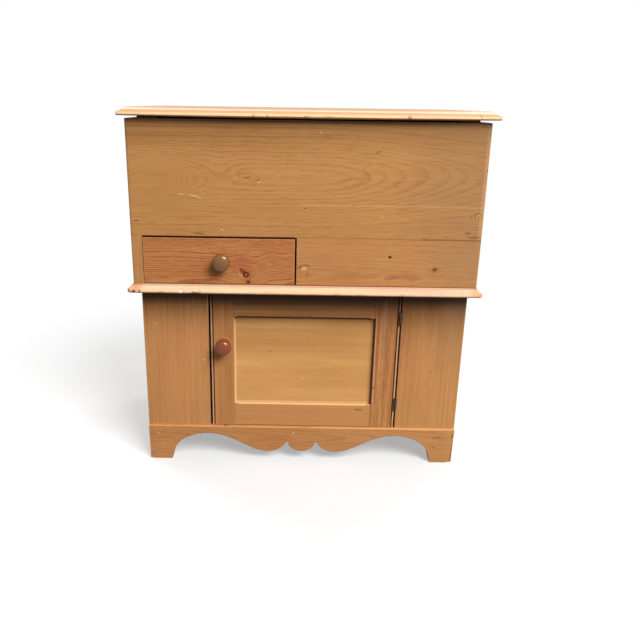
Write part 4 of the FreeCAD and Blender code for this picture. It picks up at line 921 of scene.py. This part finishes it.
def screw_heads(name, body, places, facing, radius):
    """Slotted countersunk screws in the leaves of a hinge, all facing one way, as one piece."""
    mesh = bmesh.new()
    turn = Vector((0, 0, 1)).rotation_difference(Vector(facing)).to_matrix().to_4x4()
    for number, place in enumerate(places):
        one = bmesh.new()
        bmesh.ops.create_cone(one, cap_ends=True, segments=SCREW_SIDES, radius1=radius * 0.4 * MM,
                              radius2=radius * MM, depth=SCREW_LENGTH * MM)
        bmesh.ops.translate(one, verts=one.verts, vec=(0, 0, (SCREW_PROUD - SCREW_LENGTH / 2) * MM))
        crown = max(one.faces, key=lambda face: face.calc_center_median().z)
        bmesh.ops.inset_region(one, faces=[crown], thickness=0.4 * MM, depth=0.08 * MM)
        for side in (-1, 1):
            cut(one, (side * SLOT_HALF_WIDTH * MM, 0, 0), (1, 0, 0), near=1e-7)
        slot = [face for face in one.faces
                if face.normal.z > 0.9 and abs(face.calc_center_median().x) < 0.3 * MM]
        bmesh.ops.inset_region(one, faces=slot, thickness=0.03 * MM, depth=-SLOT_DEPTH * MM)
        # Each slot stops at an angle of its own, as a screw does when it is tight
        spin = Matrix.Rotation(math.radians(25 + 47 * number), 4, "Z")
        bmesh.ops.transform(one, matrix=Matrix.Translation(Vector(place) * MM) @ turn @ spin, verts=one.verts)
        data = as_data(one, "one_screw")
        mesh.from_mesh(data)
        bpy.data.meshes.remove(data)
    made_object(mesh, name, body, old_iron, smooth=25.0)


DOOR_HINGE_Z = (367, 152)
LID_HINGE_X = (-236.5, 236.5)
LID_SCREWS = ((-20, 212), (0, 220), (20, 212))
for name, body, x, way in (("door_hinge_case_screws", "cabinet", 221.5, -1),
                           ("door_hinge_door_screws", "door", 219.9, 1)):
    places = [(x, -186.5, z + up) for z in DOOR_HINGE_Z for up in (-9, 9)]
    screw_heads(name, body, places, (way, 0, 0), 2.5)
for name, body, z, way in (("lid_hinge_box_screws", "cabinet", 797.0, 1),
                           ("lid_hinge_lid_screws", "lid", 798.5, -1)):
    places = [(x + aside, y, z) for x in LID_HINGE_X for aside, y in LID_SCREWS]
    screw_heads(name, body, places, (0, 0, way), 3.2)

# The dome of a knob is flatter than a half circle, which the power below 1 gives
DOME_STEPS = 16
DOME_POWER = 0.87
NECK = 8.4
TENON = 5.0
SPINDLE = 6
SPINDLE_FROM = 10


def knob_outline(length, radius, dome, lip, base, base_thick, shank):
    """Half the outline of a mushroom knob: a flattened dome down to its widest, and lip deep below that."""
    widest = -length + dome
    outline = [(0.0, -length)]
    for number in range(1, DOME_STEPS + 1):
        turn = math.radians(90 - 90 * number / DOME_STEPS)
        sunk = dome * max(math.sin(turn), 0.0) ** DOME_POWER
        outline.append((radius * math.cos(turn) ** DOME_POWER, widest - sunk))
    outline += arc((radius - lip * 0.9, widest), (lip * 0.9, lip), 12, 84, 6)
    outline += [(9.6, widest + lip + 1.4), (8.6, widest + lip + 3.2)]
    outline += [(NECK, -base_thick - 2.6), (9.0, -base_thick - 0.6), (base - 1.4, -base_thick)]
    outline += arc((base - 1.2, -base_thick + 1.2), (1.2, 1.2), -70, 0, 4)
    return outline + [(base, 0.0), (TENON, 0.0), (TENON, shank), (0.0, shank)]


def square_end(mesh):
    """The square end of the spindle, which the turn button sits on."""
    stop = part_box("door_knob")[1].y - CASE_FRONT * MM
    start = SPINDLE_FROM * MM
    end = bmesh.ops.create_cube(mesh, size=1.0)["verts"]
    bmesh.ops.scale(mesh, verts=end, vec=(SPINDLE * MM, stop - start, SPINDLE * MM))
    bmesh.ops.translate(mesh, verts=end, vec=(0, (stop + start) / 2, 0))
    bevelled(mesh, list({edge for vert in end for edge in vert.link_edges}), 0.4)


PALE_KNOB = turned_wood("knob_pale_wood", (-0.183, -0.2398, 0.498), paint(146, 98, 46), paint(102, 61, 18),
                        0.34, 260.0, [(-2.5, -3.0, 1.3), (1.8, -7.0, 1.2)])
RED_KNOB = turned_wood("knob_red_wood", (-0.1833, -0.2288, 0.297), paint(156, 74, 20), paint(105, 38, 4),
                       0.34, 320.0, [], lip=0.0328)
turned_knob("drawer_knob_turned", "drawer_knob", knob_outline(32.0, 19.4, 11.6, 7.5, 12.0, 2.6, 14.8),
            (-183.0, BOX_FRONT, 498.0), PALE_KNOB)
turned_knob("door_knob_turned", "door_knob", knob_outline(35.0, 18.3, 11.2, 5.0, 17.6, 3.5, 14.8),
            (-183.3, CASE_FRONT, 297.0), RED_KNOB, tail=square_end)


# ---- Floor, light and camera

WHITE = (1, 1, 1, 1)
PALE = (0.9, 0.9, 0.9, 1)
DULL = (0.12, 0.12, 0.12, 1)
FLOOR_HALF_WIDTH = 60.0
# The floor shows this share of the shadow up to the first distance, and none of it past the second, in metres
SHADOW_SHARE = 0.6
SHADOW_REACH = (0.75, 1.5)
# The strength of the light that comes from all round
DOME = 0.24
AIM = Vector((0.0, 0.0, 0.42))
# Each lamp: name, degrees to the right of the front, degrees up, metres away, width in metres, watts
LAMPS = [
    ("key", 32, 41, 5.6, 2.6, 382),
    ("left behind", -128, 30, 4.5, 1.8, 90),
    ("right behind", 140, 30, 4.5, 1.8, 70),
]
LENS = 37.0978
SENSOR = 36.0
LENS_SHIFT = (0.0507, 0.0008)
CAMERA_AT = (-0.0314997, -1.6248861, 0.8278669)
CAMERA_RIGHT = Vector((0.9998712459, 0.0085659344, 0.0135689487))
CAMERA_UP = Vector((-0.0155665676, 0.3125132288, 0.9497858515))
CAMERA_AHEAD = Vector((-0.0038953273, 0.9498747847, -0.3126063336))


def straight_look(finish):
    """1 for what the camera sees straight, in a shiny surface or through glass."""
    rays = [finish.node("ShaderNodeLightPath", {}, {}, "Is %s Ray" % kind)
            for kind in ("Camera", "Glossy", "Transmission")]
    return rays[0].math("MAXIMUM", rays[1]).math("MAXIMUM", rays[2])


def plain_floor():
    """A white floor that keeps the cabinet's shadow, and gives little light back to it."""
    mesh = bmesh.new()
    bmesh.ops.create_grid(mesh, x_segments=1, y_segments=1, size=FLOOR_HALF_WIDTH)
    floor = in_scene("floor", as_data(mesh, "floor"))
    finish = Finish("floor")
    x, y = finish.parts(finish.place((0.0, -0.1, 0.0)))[:2]
    near = finish.step((x * x + y * y).math("SQRT"), SHADOW_REACH[1], SHADOW_REACH[0])
    white = finish.node("ShaderNodeEmission", {}, {"Color": WHITE, "Strength": 1.0})
    pale = finish.node("ShaderNodeBsdfDiffuse", {}, {"Color": PALE})
    dull = finish.node("ShaderNodeBsdfDiffuse", {}, {"Color": DULL})
    seen = finish.node("ShaderNodeMixShader", {}, {0: near * SHADOW_SHARE, 1: white, 2: pale})
    surface = finish.node("ShaderNodeMixShader", {}, {0: straight_look(finish), 1: dull, 2: seen})
    finish.node("ShaderNodeOutputMaterial", {}, {"Surface": surface})
    finish.material.cycles.emission_sampling = "NONE"
    floor.data.materials.append(finish.material)


def soft_lamp(name, side, rise, away, size, watts):
    """A square lamp aimed at the cabinet, side degrees right of the front and rise degrees up."""
    turn = math.radians(side)
    lift = math.radians(rise)
    place = AIM + away * Vector((math.sin(turn) * math.cos(lift), -math.cos(turn) * math.cos(lift),
                                 math.sin(lift)))
    data = bpy.data.lights.new(name, "AREA")
    data.shape = "SQUARE"
    data.size = size
    data.energy = watts
    lamp = in_scene(name, data)
    lamp.location = place
    lamp.rotation_euler = (AIM - place).to_track_quat("-Z", "Y").to_euler()


def studio_light():
    """Lamps and a soft dome of light, in front of a white that the camera sees."""
    world = bpy.data.worlds.new("studio")
    bpy.context.scene.world = world
    world.use_nodes = True
    world.node_tree.nodes.clear()
    finish = Finish.around(world.node_tree)
    soft = finish.node("ShaderNodeBackground", {}, {"Color": WHITE, "Strength": DOME})
    white = finish.node("ShaderNodeBackground", {}, {"Color": WHITE, "Strength": 1.0})
    mixed = finish.node("ShaderNodeMixShader", {}, {0: straight_look(finish), 1: soft, 2: white})
    finish.node("ShaderNodeOutputWorld", {}, {"Surface": mixed})
    for lamp in LAMPS:
        soft_lamp(*lamp)


def front_camera():
    data = bpy.data.cameras.new("camera")
    data.lens = LENS
    data.sensor_width = SENSOR
    data.shift_x, data.shift_y = LENS_SHIFT
    camera = in_scene("camera", data)
    turn = Matrix((CAMERA_RIGHT, CAMERA_UP, -CAMERA_AHEAD)).transposed()
    camera.matrix_world = Matrix.Translation(CAMERA_AT) @ turn.to_4x4()
    bpy.context.scene.camera = camera


plain_floor()
studio_light()
front_camera()
bpy.context.scene.view_settings.view_transform = "Standard"
